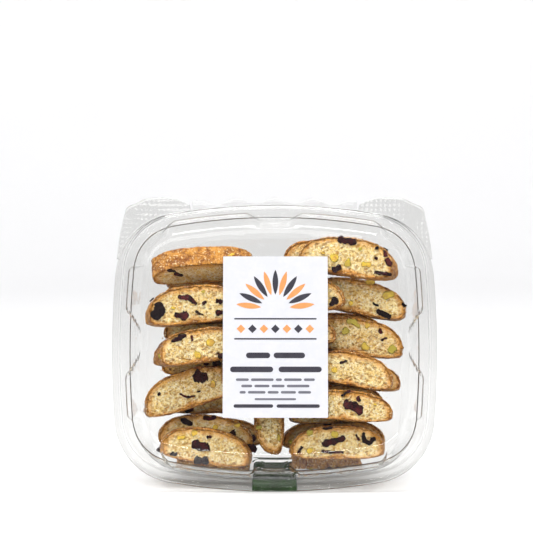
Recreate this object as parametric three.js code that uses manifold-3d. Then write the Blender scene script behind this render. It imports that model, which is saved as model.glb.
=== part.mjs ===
// Shut clear clamshell pack of sliced biscotti, standing on its lower edge and leaning back a little.
// The pack is laid out in its own plane, X to the right, Y up and Z out of the lid, with the plane
// where the two flanges meet at Z = 0. The whole group is then stood up and put on the floor.
import * as THREE from 'three';
import { mergeVertices } from 'three/addons/utils/BufferGeometryUtils.js';
import Module from 'manifold-3d';

const wasm = await Module();
wasm.setup();

const LEAN = THREE.MathUtils.degToRad(10);
const WALL = 0.8;
const GAP = 0.3;
const FLANGE_SPOT = 0.3;

// Outline of the pack, seen from the front
const HALF_WIDTH = 92;
const HALF_HEIGHT = 82.5;
const HEIGHT_TAPER = 1.04;
const LOWER_LIP = 1;
const UPPER_LIP = -4.2;
const LIP_WIDTH = 4;
const CROWN_RADIUS = 343.5;
const SIDE_RADIUS = 514.5;
const CORNER_RADIUS = 37.5;
const ARC_STEPS = { side: 3, corner: 6, crown: 4 };

// Tub behind the flange
const TUB_DEPTH = 41.2;
const TUB_FILLET = 3.2;
const TUB_SIDE_AT_RIM = 10.9;
const TUB_SIDE_AT_BACK = 18.2;
const RIM_START = -1.2;
const FOOT_BULGE = [{ z: -9, inset: -0.2 }, { z: -4.5, inset: 0.6 }];
const BASE_BEAD = [[9.3, 0.5], [7.2, 2], [5.8, 2.2], [4.9, 1.4]];
const BASE_BEAD_SPAN = { outer: 10.6, inner: 4.2, back: 9.4 };

// Lid: distance in from the flange edge, and height in front of the flange plane
const FACE_HEIGHT = 12;
const LID_SECTION = [
  [19.6, FACE_HEIGHT], [17.9, 11.7], [17, 10.9], [11.6, 2.9], [10.4, 2.2], [9, 2.6],
  [7, 3.9], [5.4, 4], [4, 2.9], [3.2, 1.3], [2.6, 0.95], [0.4, 0.95],
];

const TEAR_STRIP = { halfLength: 47, middle: 81.2, wave: 1.7, period: 22, foot: 78.6, sag: 687 };
const TEAR_STEPS = 26;
const EAR = {
  inner: 48, outer: 86, root: 88.4, side: 50, top: 83.2, shoulder: 78.4, step: 1, corner: 7,
  slopeEnd: 20, slopeTurn: 14, flatEnd: 8, flatTurn: 3, overlap: 1.4, skin: 0.1,
};
const LABEL = { width: 58.5, height: 90, thickness: 0.2, x: 0.5, y: 3 };
const SEAL = { width: 25, thickness: 0.2, up: 9, edge: 0.5, bevel: 0.6, bulge: { out: 0.4, z: -9 } };

const SLICE_BEVEL = 0.8;
const SLICE_POINTS = 14;
const SLICE_WAIST = 0.3;
const SLICE_POWERS = { side: 0.85, dome: 0.95, foot: 0.55 };

const materials = {
  clear: { color: 0xe9eff2, roughness: 0.05, metalness: 0, transparent: true, opacity: 0.35 },
  paper: { color: 0xf6f6f8, roughness: 0.6, metalness: 0 },
  green: { color: 0x1f3a12, roughness: 0.4, metalness: 0 },
  baked: { color: 0xd9a75c, roughness: 0.85, metalness: 0 },
};

// Slices the photograph shows. x and y are the middle of the flat crust, front is the cut face.
const SHOWN_SLICES = [
  { name: 'left_1', x: -40.6, y: 34.2, front: -9.8, length: 62, height: 21, thick: 13, tilt: 3.5, pitch: 60 },
  { name: 'left_2', x: -44.8, y: 10, front: 8.4, length: 60, height: 23.6, thick: 14, tilt: 6 },
  { name: 'left_3', x: -41, y: -11.7, front: 8.4, length: 58.5, height: 21, thick: 14, tilt: 8.5 },
  { name: 'left_4', x: -45.6, y: -36.6, front: -5.8, length: 59.5, height: 23.6, thick: 12, tilt: 17.5 },
  { name: 'left_5', x: -40, y: -61.6, front: -18, length: 59, height: 23, thick: 9, tilt: -5 },
  { name: 'left_6', x: -40, y: -68.2, front: -2.4, length: 56, height: 21.8, thick: 12.8, tilt: -8.4 },
  { name: 'right_1', x: 41, y: 37.2, front: 8.4, length: 61.5, height: 23.6, thick: 14, tilt: -8 },
  { name: 'right_2', x: 46.2, y: 17, front: -6.6, length: 60.5, height: 21.4, thick: 13.6, tilt: -12 },
  { name: 'right_3', x: 45, y: -6.2, front: -6.6, length: 60, height: 22.6, thick: 13.6, tilt: -9 },
  { name: 'right_4', x: 41.2, y: -24.4, front: 8.4, length: 52.5, height: 20.4, thick: 14, tilt: -10.7 },
  { name: 'right_5', x: 38.4, y: -43.8, front: 8.4, length: 60, height: 18.6, thick: 14, tilt: -4.2 },
  { name: 'right_6', x: 36, y: -65.8, front: 1.2, length: 58, height: 21, thick: 13, tilt: 1 },
  { name: 'middle_1', x: 14.5, y: 17.8, front: 8.4, length: 54, height: 20.4, thick: 13.6, tilt: 0 },
  { name: 'middle_2', x: 12.5, y: -3, front: 8.4, length: 48, height: 19.4, thick: 13.6, tilt: 3 },
  { name: 'middle_3', x: -8.6, y: -25, front: 8.4, length: 46, height: 17, thick: 12.4, tilt: -2 },
  { name: 'middle_4', x: 6, y: -41, front: -4.6, length: 46, height: 18.6, thick: 10.5, tilt: 90 },
];

// Slices behind them, which show only as brown ends between the front ones
const HIDDEN_SLICES = [
  { name: 'left_7', x: -36, y: 31.6, front: -16.8, length: 58, height: 19.4, thick: 10.4, tilt: 1 },
  { name: 'left_8', x: -42, y: 11, front: -6.6, length: 58, height: 19.6, thick: 13.4, tilt: 2 },
  { name: 'left_9', x: -39, y: -9.6, front: -6.8, length: 56, height: 18.6, thick: 13, tilt: 7 },
  { name: 'left_10', x: -35, y: -63, front: -16, length: 46, height: 19, thick: 8, tilt: -3, pitch: -90 },
  { name: 'right_7', x: 32, y: 42, front: -6.6, length: 59, height: 18.4, thick: 13.4, tilt: -6 },
  { name: 'right_8', x: 43.5, y: -25, front: -6.8, length: 60, height: 18, thick: 13.2, tilt: -8 },
  { name: 'right_9', x: 36.4, y: -45.6, front: -12.4, length: 60, height: 18, thick: 12.6, tilt: 2 },
  { name: 'right_10', x: 36, y: -65.6, front: -12.4, length: 56, height: 19.2, thick: 12.8, tilt: 2 },
  { name: 'right_16', x: 30, y: -61.4, front: -26, length: 44, height: 12.6, thick: 9.8, tilt: 0, pitch: -90 },
  { name: 'middle_5', x: 5.4, y: -39.4, front: -15.6, length: 46, height: 17.2, thick: 10, tilt: 90 },
];

// Last row against the back wall, two columns of slices that each lie a little differently
const BACK_ROW = {
  front: -27.6, thick: 12.4, length: 62.5, height: 19.6, rise: 20.6,
  columns: [
    { name: 'left', x: -36, y: -60.4, count: 5, first: 11 },
    { name: 'right', x: 34.4, y: -60.8, count: 5, first: 11 },
  ],
  shift: { size: 1, step: 2.3 },
  stretch: { size: 1, step: 1.7 },
  turn: { size: 2, step: 1.9, start: 0.6 },
};

function halfHeight(inset, lip) {
  return HALF_HEIGHT - HEIGHT_TAPER * inset + lip * Math.max(0, 1 - inset / LIP_WIDTH);
}

// Quarter of the outline: a shallow side arc, a corner arc and a shallow crown arc, all tangent
function quarter(a, b, inset) {
  const crown = CROWN_RADIUS - inset;
  const side = SIDE_RADIUS - inset;
  const corner = CORNER_RADIUS - inset;
  const crownY = b - crown;
  const sideX = a - side;
  const span = Math.hypot(sideX, crownY);
  const along = ((crown - corner) ** 2 - (side - corner) ** 2 + span ** 2) / (2 * span);
  const across = Math.sqrt((crown - corner) ** 2 - along ** 2);
  const ux = sideX / span;
  const uy = -crownY / span;
  const x = ux * along - uy * across;
  const y = crownY + uy * along + ux * across;
  const [cx, cy] = x + y > 0 ? [x, y] : [ux * along + uy * across, crownY + uy * along - ux * across];
  const sideEnd = Math.atan2(cy, cx - sideX);
  const crownStart = Math.atan2(cy - crownY, cx);
  const points = [];
  const arc = (ox, oy, radius, from, to, steps) => {
    for (let i = 0; i < steps; i += 1) {
      const angle = from + ((to - from) * i) / steps;
      points.push([ox + radius * Math.cos(angle), oy + radius * Math.sin(angle)]);
    }
  };
  arc(sideX, 0, side, 0, sideEnd, ARC_STEPS.side);
  arc(cx, cy, corner, sideEnd, crownStart, ARC_STEPS.corner);
  arc(0, crownY, crown, crownStart, Math.PI / 2, ARC_STEPS.crown);
  return points;
}

// One closed ring of points, from the insets of the sides and the bottom and its two half heights
function ring({
  side, bottom = side, z, halfTop = halfHeight(side, UPPER_LIP), halfFoot = halfHeight(bottom, LOWER_LIP),
}) {
  const upper = quarter(HALF_WIDTH - side, halfTop, side);
  const lower = quarter(HALF_WIDTH - side, halfFoot, (side + bottom) / 2);
  const turn = (points, sx, sy) => points.map(([x, y]) => new THREE.Vector3(sx * x, sy * y, z));
  const crownTop = new THREE.Vector3(0, halfTop, z);
  const crownFoot = new THREE.Vector3(0, -halfFoot, z);
  const leftEnd = (points) => points.slice(1).reverse();
  return [
    ...turn(upper, 1, 1), crownTop, ...turn(leftEnd(upper), -1, 1),
    ...turn(lower, -1, -1), crownFoot, ...turn(leftEnd(lower), 1, -1),
  ];
}

// Closed body through a row of rings, with a fan of triangles over the first and the last
function loft(rings) {
  const count = rings[0].length;
  const middle = (points) => new THREE.Vector3(0, 0, points[0].z);
  const vertices = [...rings.flat(), middle(rings[0]), middle(rings.at(-1))];
  const index = [];
  for (let row = 0; row + 1 < rings.length; row += 1) {
    for (let i = 0; i < count; i += 1) {
      const a = row * count + i;
      const b = row * count + ((i + 1) % count);
      index.push(a, b + count, b, a, a + count, b + count);
    }
  }
  const last = (rings.length - 1) * count;
  for (let i = 0; i < count; i += 1) {
    const next = (i + 1) % count;
    index.push(vertices.length - 2, i, next);
    index.push(vertices.length - 1, last + next, last + i);
  }
  const geometry = new THREE.BufferGeometry().setFromPoints(vertices);
  geometry.setIndex(index);
  return geometry;
}

function toSolid(geometry) {
  const bare = geometry.clone();
  bare.deleteAttribute('normal');
  bare.deleteAttribute('uv');
  const merged = mergeVertices(bare, 1e-4);
  return new wasm.Manifold(new wasm.Mesh({
    numProp: 3,
    vertProperties: new Float32Array(merged.attributes.position.array),
    triVerts: new Uint32Array(merged.index.array),
  }));
}

function toGeometry(solid) {
  const mesh = solid.getMesh();
  const geometry = new THREE.BufferGeometry();
  geometry.setAttribute('position', new THREE.BufferAttribute(mesh.vertProperties, 3));
  geometry.setIndex(new THREE.BufferAttribute(mesh.triVerts, 1));
  return geometry;
}

// Line moved sideways by a distance, with mitred corners
function offsetLine(line, distance) {
  const normals = line.slice(1).map(([x, y], i) => {
    const dx = x - line[i][0];
    const dy = y - line[i][1];
    const length = Math.hypot(dx, dy);
    return [-dy / length, dx / length];
  });
  return line.map(([x, y], i) => {
    const before = normals[Math.max(i - 1, 0)];
    const after = normals[Math.min(i, normals.length - 1)];
    const scale = distance / (1 + before[0] * after[0] + before[1] * after[1]);
    return [x + (before[0] + after[0]) * scale, y + (before[1] + after[1]) * scale];
  });
}

// Inset of the tub's foot that lets the sealed foot and the flange edge share one floor
const outerDepth = TUB_DEPTH + WALL;
const outerFillet = TUB_FILLET + WALL;
const flangeBack = GAP / 2 + WALL;
const footInset = (outerDepth - outerFillet - flangeBack) * Math.tan(LEAN)
  + FLANGE_SPOT / Math.cos(LEAN) + GAP + SEAL.thickness;
const flangeFoot = HALF_HEIGHT + LOWER_LIP;
const tubFoot = flangeFoot - footInset;

const heightInPlane = (y, z) => y * Math.cos(LEAN) + z * Math.sin(LEAN);
const floorLevel = heightInPlane(-flangeFoot, -flangeBack) + FLANGE_SPOT;

// Turns of the fillet; the first step is centred on the floor's direction
const filletAngles = [0, 2 * LEAN, Math.PI / 4, 3 * Math.PI / 8, Math.PI / 2];

// Rings of the tub's wall from the back panel to the rim, for a surface moved out by an offset
function tubRings(offset) {
  const radius = TUB_FILLET + offset;
  const sideAt = (z) => {
    const share = (z - RIM_START) / (-TUB_DEPTH - RIM_START);
    return THREE.MathUtils.lerp(TUB_SIDE_AT_RIM, TUB_SIDE_AT_BACK, share) - offset;
  };
  const foot = footInset + WALL - offset;
  const rows = [...filletAngles].reverse().map((angle) => {
    const reach = radius * (1 - Math.cos(angle));
    const z = -TUB_DEPTH + TUB_FILLET - radius * Math.sin(angle);
    return { side: sideAt(z) + reach, foot: foot + reach, z };
  });
  rows.push(...FOOT_BULGE.map(({ z, inset }) => ({ side: sideAt(z), foot: foot + inset, z })));
  rows.push({ side: sideAt(RIM_START), foot: TUB_SIDE_AT_RIM + LOWER_LIP - offset, z: RIM_START });
  return rows.map(({ side, foot: inset, z }) => ring({
    side, bottom: inset, z, halfTop: halfHeight(side, 0), halfFoot: flangeFoot - inset,
  }));
}

// Plate outside the pack's outline: a pull tab at each upper corner
function ears(inset, zFrom, zTo) {
  const outer = EAR.outer - inset;
  const top = EAR.top - inset;
  const shape = new THREE.Shape();
  shape.moveTo(EAR.inner, EAR.side);
  shape.lineTo(EAR.root - inset, EAR.side);
  shape.lineTo(outer, EAR.shoulder - EAR.corner);
  shape.quadraticCurveTo(
    outer, EAR.shoulder - inset, outer - EAR.corner, EAR.shoulder + EAR.step - inset,
  );
  shape.quadraticCurveTo(outer - EAR.slopeTurn, top, outer - EAR.slopeEnd, top);
  shape.lineTo(EAR.inner + EAR.flatEnd, top);
  shape.quadraticCurveTo(EAR.inner + EAR.flatTurn, top, EAR.inner, EAR.shoulder);
  const depth = zTo - zFrom;
  const plate = new THREE.ExtrudeGeometry(shape, { depth, bevelEnabled: false, curveSegments: 4 });
  plate.translate(0, 0, zFrom);
  const right = toSolid(plate);
  const edge = ring({ side: EAR.overlap, z: 0 });
  const inside = new THREE.Shape(edge.map(({ x, y }) => new THREE.Vector2(x, y)));
  const core = new THREE.ExtrudeGeometry(inside, { depth: 4 * flangeBack, bevelEnabled: false });
  core.translate(0, 0, -2 * flangeBack);
  const trimmed = right.subtract(toSolid(core));
  return trimmed.add(trimmed.mirror([1, 0, 0]));
}

// Everything below the floor, in the pack's own plane
function belowFloor() {
  const reach = 4 * HALF_WIDTH;
  const block = new THREE.BoxGeometry(reach, reach, reach);
  block.translate(0, -reach / 2, 0);
  block.rotateX(LEAN);
  block.translate(0, floorLevel * Math.cos(LEAN), floorLevel * Math.sin(LEAN));
  return toSolid(block);
}

function makeBase() {
  const flangeFront = -GAP / 2;
  const bead = [
    [BASE_BEAD_SPAN.outer, flangeFront], ...BASE_BEAD, [BASE_BEAD_SPAN.inner, flangeFront],
    [0, flangeFront], [0, -flangeBack], [BASE_BEAD_SPAN.back, -flangeBack],
  ];
  const rings = [
    ...tubRings(0),
    ...bead.map(([side, z]) => ring({ side, z })),
    ...tubRings(WALL).reverse(),
  ];
  const tray = toSolid(loft(rings));
  return tray.add(ears(1, -flangeBack + EAR.skin, flangeFront - EAR.skin)).subtract(belowFloor());
}

function makeLid() {
  const inner = offsetLine(LID_SECTION, WALL).reverse();
  const rings = [...LID_SECTION, ...inner].map(([side, z]) => ring({ side, z }));
  const shell = toSolid(loft(rings));
  return shell.add(ears(0, GAP / 2 + EAR.skin, GAP / 2 + WALL - EAR.skin));
}

// Tear-away strip of the hinge, with a wavy upper edge
function makeTearStrip() {
  const { halfLength, middle, wave, period, foot, sag } = TEAR_STRIP;
  const count = TEAR_STEPS + 1;
  const stations = Array.from({ length: count }, (_, i) => halfLength * ((2 * i) / TEAR_STEPS - 1));
  const low = stations.map((x) => new THREE.Vector2(x, foot - (x * x) / sag));
  const crest = (x) => middle + wave * Math.cos((2 * Math.PI * x) / period) - (x * x) / (2 * sag);
  const high = stations.map((x) => new THREE.Vector2(x, crest(x)));
  const shape = new THREE.Shape([...low, ...high.reverse()]);
  const geometry = new THREE.ExtrudeGeometry(shape, { depth: WALL, bevelEnabled: false });
  geometry.translate(0, 0, -WALL / 2);
  return geometry;
}

function makeLabel() {
  const geometry = new THREE.BoxGeometry(LABEL.width, LABEL.height, LABEL.thickness);
  geometry.translate(LABEL.x, LABEL.y, FACE_HEIGHT + GAP + LABEL.thickness / 2);
  return geometry;
}

// Paper seal that runs from the back panel round the foot, along the lower wall and down the flange
function makeSeal() {
  const path = (offset) => {
    const radius = outerFillet + offset;
    const centreY = -(tubFoot - outerFillet);
    const centreZ = -(outerDepth - outerFillet);
    const turn = [...filletAngles].reverse().map((angle) => [
      centreY - radius * Math.cos(angle), centreZ - radius * Math.sin(angle),
    ]);
    const back = -(flangeBack + offset);
    return [
      [-tubFoot + SEAL.up, -(outerDepth + offset)], ...turn,
      [-(tubFoot + offset + SEAL.bulge.out), SEAL.bulge.z], [-(tubFoot + offset), back],
      [-(flangeFoot - SEAL.edge - SEAL.bevel), back],
    ];
  };
  const outline = [...path(GAP), ...path(GAP + SEAL.thickness).reverse()];
  const shape = new THREE.Shape(outline.map(([y, z]) => new THREE.Vector2(-z, y)));
  const geometry = new THREE.ExtrudeGeometry(shape, { depth: SEAL.width, bevelEnabled: false });
  geometry.rotateY(Math.PI / 2);
  geometry.translate(-SEAL.width / 2, 0, 0);
  return geometry;
}

// Slice of a flat loaf: nearly flat crust below, domed crust above, two cut faces
function makeSlice({ length, height, thick }) {
  const waist = SLICE_WAIST * height;
  const power = (value, exponent) => Math.sign(value) * Math.abs(value) ** exponent;
  const points = [];
  for (let i = 0; i < SLICE_POINTS; i += 1) {
    const angle = (2 * Math.PI * i) / SLICE_POINTS;
    const x = (length / 2) * power(Math.cos(angle), SLICE_POWERS.side);
    const rise = Math.sin(angle);
    const dome = (height - waist) * Math.max(rise, 0) ** SLICE_POWERS.dome;
    const y = waist + dome - waist * Math.max(-rise, 0) ** SLICE_POWERS.foot;
    points.push(new THREE.Vector2(x, y));
  }
  const geometry = new THREE.ExtrudeGeometry(new THREE.Shape(points), {
    depth: thick - 2 * SLICE_BEVEL,
    bevelThickness: SLICE_BEVEL,
    bevelSize: SLICE_BEVEL,
    bevelOffset: -SLICE_BEVEL,
    bevelSegments: 1,
  });
  geometry.translate(0, 0, SLICE_BEVEL - thick);
  return geometry;
}

const pack = new THREE.Group();

function addPiece(name, geometry, finish) {
  const mesh = new THREE.Mesh(geometry, new THREE.MeshStandardMaterial(materials[finish]));
  mesh.name = name;
  pack.add(mesh);
  return mesh;
}

function addSlice(slice) {
  const mesh = addPiece(`biscotti_${slice.name}`, makeSlice(slice), 'baked');
  const { degToRad } = THREE.MathUtils;
  mesh.rotation.set(degToRad(slice.pitch ?? 0), 0, degToRad(slice.tilt), 'ZXY');
  mesh.position.set(slice.x, slice.y, slice.front);
}

function backRow() {
  const { front, thick, length, height, rise, columns, shift, stretch, turn } = BACK_ROW;
  return columns.flatMap(({ name, x, y, count, first }) => Array.from({ length: count }, (_, i) => ({
    name: `${name}_${first + i}`,
    x: x + shift.size * Math.sin(shift.step * i),
    y: y + rise * i,
    front,
    length: length + stretch.size * Math.cos(stretch.step * i),
    height,
    thick,
    tilt: turn.size * Math.sin(turn.step * i + turn.start),
  })));
}

addPiece('base', toGeometry(makeBase()), 'clear');
addPiece('lid', toGeometry(makeLid()), 'clear');
addPiece('tear_strip', makeTearStrip(), 'clear');
addPiece('label', makeLabel(), 'paper');
addPiece('seal', makeSeal(), 'green');
[...SHOWN_SLICES, ...HIDDEN_SLICES, ...backRow()].forEach(addSlice);

// Stand the pack up, leaning back, with the middle of its footprint at the origin
const part = new THREE.Group();
pack.rotation.x = Math.PI / 2 - LEAN;
part.add(pack);
part.updateMatrixWorld(true);
const bounds = new THREE.Box3().setFromObject(pack, true);
const centre = bounds.getCenter(new THREE.Vector3());
pack.position.set(-centre.x, -centre.y, -bounds.min.z);

export default part;
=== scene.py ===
"""Looks of a shut clear clamshell pack of fruit and nut biscotti, standing on its lower edge.

The pack is laid out in its own plane, in millimetres: x to the right, y up and z out of the lid, with
the plane where the two flanges meet at z = 0. PackPlane stands that plane up in the shared frame.
"""

import logging
import math
from dataclasses import dataclass, field, replace
from enum import Enum

import bpy
import numpy as np
from mathutils import Euler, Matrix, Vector
from mathutils.bvhtree import BVHTree


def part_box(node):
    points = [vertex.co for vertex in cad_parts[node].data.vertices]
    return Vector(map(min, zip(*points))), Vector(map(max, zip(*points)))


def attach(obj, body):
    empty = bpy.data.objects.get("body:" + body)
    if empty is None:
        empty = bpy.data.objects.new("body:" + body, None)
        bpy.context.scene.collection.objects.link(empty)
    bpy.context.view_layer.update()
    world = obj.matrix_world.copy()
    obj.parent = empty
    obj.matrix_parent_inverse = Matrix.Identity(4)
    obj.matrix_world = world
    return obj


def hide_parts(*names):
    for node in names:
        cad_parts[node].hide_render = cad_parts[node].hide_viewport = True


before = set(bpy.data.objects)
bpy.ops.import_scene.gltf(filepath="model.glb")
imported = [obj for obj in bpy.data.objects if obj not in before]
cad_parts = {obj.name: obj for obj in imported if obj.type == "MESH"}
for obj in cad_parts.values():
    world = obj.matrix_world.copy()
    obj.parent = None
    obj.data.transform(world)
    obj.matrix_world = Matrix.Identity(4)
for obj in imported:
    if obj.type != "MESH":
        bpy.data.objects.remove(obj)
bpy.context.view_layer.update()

LOG = logging.getLogger("biscotti_pack")
MM = 0.001
BODY = "root"
HASH_FACTORS = (73856093, 19349663, 83492791, 97456371)
HASH_MIXER = 1274126177
LOW_32_BITS, LOW_16_BITS = 0xFFFFFFFF, 0xFFFF
OCTAVE_SEED_STEP = 17
QUARTER_TURN = np.array([[0, 1], [-1, 0]])

Array = np.ndarray
Faces = list[list[int]]
Piece = bpy.types.Object
Socket = bpy.types.NodeSocket
Pair = tuple[float, float]
Triple = tuple[float, float, float]
Colour = tuple[float, float, float, float]


class Filling(Enum):
    """What is baked into the dough."""

    FRUIT = "dried_fruit"
    NUT = "green_nuts"


class Slot(Enum):
    """Material slots of the record."""

    CLEAR = "clear_plastic"
    LABEL = "label_paper"
    SEAL = "seal_paper"
    BAKED = "baked_biscotti"


def srgb(red: float, green: float, blue: float) -> Colour:
    """Linear colour of an 8-bit display colour.

    Args:
        red: Display red, 0 to 255.
        green: Display green, 0 to 255.
        blue: Display blue, 0 to 255.

    Returns:
        Linear red, green and blue, and an alpha of 1.
    """
    level = np.array([red, green, blue]) / 255
    linear = np.where(level <= 0.04045, level / 12.92, ((level + 0.055) / 1.055) ** 2.4)
    return (*(float(part) for part in linear), 1.0)


def smoothstep(low: float, high: float, value: Array) -> Array:
    """S-shaped ramp from 0 at low to 1 at high: 3 t squared minus 2 t cubed.

    Args:
        low: Value where the ramp starts.
        high: Value where the ramp ends.
        value: Where the ramp is read.

    Returns:
        The ramp, of the same shape as value.
    """
    share = np.clip((value - low) / (high - low), 0, 1)
    return share * share * (3 - 2 * share)


def plateau(rise: Pair, fall: Pair, value: Array) -> Array:
    """Soft plateau: an S-shaped ramp up over one span and another one down over a later span.

    Args:
        rise: Values where the ramp up starts and ends.
        fall: Values where the ramp down starts and ends.
        value: Where the plateau is read.

    Returns:
        The plateau, 0 outside and 1 on top, of the same shape as value.
    """
    return smoothstep(*rise, value) * (1 - smoothstep(*fall, value))


def lattice_noise(points: Array, seed: int) -> Array:
    """Smooth noise: each whole-number corner has a random value, blended through its cell.

    The random value is a hash of the corner's three numbers and the seed, and the blend is smoothstep.

    Args:
        points: Places, with the three coordinates on the last axis.
        seed: Picks one noise out of many.

    Returns:
        Values from -1 to 1, one for each place.
    """
    cell = np.floor(points).astype(np.int64)
    inside = points - cell
    blend = inside * inside * (3 - 2 * inside)
    total = np.zeros(points.shape[:-1])
    by_x, by_y, by_z, by_seed = HASH_FACTORS
    for corner in np.ndindex(2, 2, 2):
        at = cell + np.array(corner)
        mixed = at[..., 0] * by_x ^ at[..., 1] * by_y ^ at[..., 2] * by_z ^ seed * by_seed
        mixed = ((mixed ^ (mixed >> 13)) * HASH_MIXER) & LOW_32_BITS
        value = ((mixed ^ (mixed >> 16)) & LOW_16_BITS) / (LOW_16_BITS / 2) - 1
        total += value * np.prod(np.where(np.array(corner) == 1, blend, 1 - blend), axis=-1)
    return total


def rough_noise(points: Array, size: float, seed: int, octaves: int = 3) -> Array:
    """Sum of smooth noises, each half as large and half as strong as the one before.

    Args:
        points: Places, with the three coordinates on the last axis.
        size: Cell size of the coarsest noise, in the places' unit.
        seed: Picks one noise out of many.
        octaves: How many noises are added.

    Returns:
        Values from about -1 to 1.
    """
    layers = [
        lattice_noise(points * 2**i / size, seed + OCTAVE_SEED_STEP * i) / 2**i for i in range(octaves)
    ]
    return sum(layers) / (2 - 0.5 ** (octaves - 1))


def rounded_line(points: list[tuple[float, ...]], rounds: int = 2) -> Array:
    """Line with its corners cut again and again at a quarter and three quarters of each side.

    Args:
        points: Corners of the line, each with any number of coordinates.
        rounds: How often the corners are cut.

    Returns:
        Points of the rounded line, with its two ends kept.
    """
    line = np.array(points, float)
    for _ in range(rounds):
        near = 0.75 * line[:-1] + 0.25 * line[1:]
        far = 0.25 * line[:-1] + 0.75 * line[1:]
        middle = np.stack([near, far], axis=1).reshape(-1, line.shape[1])
        line = np.vstack([line[:1], middle[1:-1], line[-1:]])
    return line


def shifted_line(line: Array, distance: float) -> Array:
    """Line in a plane moved sideways, to the left of its direction, along the normal at each point.

    Args:
        line: Points of the line.
        distance: How far it moves.

    Returns:
        Points of the moved line.
    """
    along = np.gradient(line, axis=0)
    along /= np.linalg.norm(along, axis=1, keepdims=True)
    return line + distance * np.stack([-along[:, 1], along[:, 0]], axis=1)


def resampled(line: Array, count: int) -> Array:
    """Line cut into equal steps of its length.

    Args:
        line: Points of the line.
        count: Number of points that come back.

    Returns:
        Points at equal distances along the line, its ends among them.
    """
    steps = np.linalg.norm(np.diff(line, axis=0), axis=1)
    travelled = np.concatenate([[0], np.cumsum(steps)])
    wanted = np.linspace(0, travelled[-1], count)
    return np.stack([np.interp(wanted, travelled, line[:, i]) for i in range(line.shape[1])], axis=1)


def sheet_faces(rows: int, columns: int, closed: bool = False) -> Array:
    """Quads of a grid of rows and columns, numbered row by row.

    Args:
        rows: Number of rows of vertices.
        columns: Number of vertices in a row.
        closed: True if each row's last vertex joins its first.

    Returns:
        Four vertex numbers for each face.
    """
    numbers = np.arange(rows * columns).reshape(rows, columns)
    if closed:
        numbers = np.hstack([numbers, numbers[:, :1]])
    corners = [numbers[:-1, :-1], numbers[:-1, 1:], numbers[1:, 1:], numbers[1:, :-1]]
    return np.stack(corners, axis=-1).reshape(-1, 4)


def lattice_box(counts: tuple[int, int, int]) -> tuple[Array, Array]:
    """Surface of a box of whole-number points.

    Args:
        counts: Number of cells along each of the three axes.

    Returns:
        Whole-number coordinates of the points, and outward quads of point numbers.
    """
    size = np.array(counts) + 1
    sides = []
    for axis, (first, second) in enumerate(((1, 2), (2, 0), (0, 1))):
        a, b = np.meshgrid(np.arange(size[first]), np.arange(size[second]), indexing="ij")
        for at in (0, counts[axis]):
            place = np.zeros((*a.shape, 3), int)
            place[..., first], place[..., second], place[..., axis] = a, b, at
            ids = np.ravel_multi_index(tuple(np.moveaxis(place, -1, 0)), tuple(size))
            quads = np.stack([ids[:-1, :-1], ids[1:, :-1], ids[1:, 1:], ids[:-1, 1:]], axis=-1).reshape(-1, 4)
            sides.append(quads if at else quads[:, ::-1])
    used, index = np.unique(np.concatenate(sides), return_inverse=True)
    return np.stack(np.unravel_index(used, tuple(size)), axis=-1), index.reshape(-1, 4)


def disc_faces(rings: int, around: int) -> Faces:
    """Faces of a disc: a middle vertex, a fan of triangles and rings of quads out to the edge.

    Args:
        rings: Number of rings outside the middle vertex.
        around: Number of vertices in each ring.

    Returns:
        Vertex numbers of each face.
    """
    quads = sheet_faces(rings, around, closed=True) + 1
    here = np.arange(around)
    fan = np.stack([np.zeros(around, int), 1 + here, 1 + (here + 1) % around], axis=-1)
    return [*fan.tolist(), *quads[:, ::-1].tolist()]


def ball_faces(rings: int, around: int) -> Array:
    """Triangles of a closed ball: one vertex, some rings of vertices, and one vertex.

    Args:
        rings: Number of rings between the two end vertices.
        around: Number of vertices in each ring.

    Returns:
        Three vertex numbers for each triangle.
    """
    quads = sheet_faces(rings, around, closed=True) + 1
    band = np.concatenate([quads[:, [0, 1, 2]], quads[:, [0, 2, 3]]])
    here = np.arange(around)
    after = (here + 1) % around
    last = rings * around + 1
    start = np.stack([np.zeros(around, int), after + 1, here + 1], axis=-1)
    end = np.stack([np.full(around, last), last - around + here, last - around + after], axis=-1)
    return np.concatenate([start, band, end])


def flat_plate(outline: Array, low: float, high: float) -> tuple[Array, Faces]:
    """Thin plate: the outline at two heights, with one face over each and a wall between.

    Args:
        outline: Corners in the plane, counter-clockwise.
        low: Height of its underside.
        high: Height of its top.

    Returns:
        Points and faces of the plate.
    """
    count = len(outline)
    levels = [np.column_stack([outline, np.full(count, level)]) for level in (low, high)]
    here = np.arange(count)
    after = (here + 1) % count
    wall = np.stack([here, after, after + count, here + count], axis=-1)
    return np.vstack(levels), [here[::-1].tolist(), (here + count).tolist(), *wall.tolist()]


def joined(parts: list[tuple[Array, Faces]]) -> tuple[Array, Faces]:
    """Several meshes as one, with the vertex numbers of each moved past those before it.

    Args:
        parts: Points and faces of each mesh.

    Returns:
        All points and all faces.
    """
    faces: Faces = []
    start = 0
    for points, some in parts:
        faces += [[number + start for number in face] for face in some]
        start += len(points)
    return np.vstack([points for points, _ in parts]), faces


def add_object(name: str, data: bpy.types.ID) -> Piece:
    """Puts a mesh, a camera or a light into the scene."""
    thing = bpy.data.objects.new(name, data)
    bpy.context.scene.collection.objects.link(thing)
    return thing


def add_mesh(name: str, points: Array, faces: Faces, smooth: bool = True) -> Piece:
    """Puts one mesh object at the origin of the scene.

    Args:
        name: Name of the piece.
        points: Vertices, in metres in the shared frame.
        faces: Vertex numbers of each face.
        smooth: True if the faces are shaded smooth.

    Returns:
        The new object.
    """
    mesh = bpy.data.meshes.new(name)
    mesh.from_pydata(np.asarray(points).tolist(), [], faces)
    mesh.polygons.foreach_set("use_smooth", np.full(len(mesh.polygons), smooth))
    return add_object(name, mesh)


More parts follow.
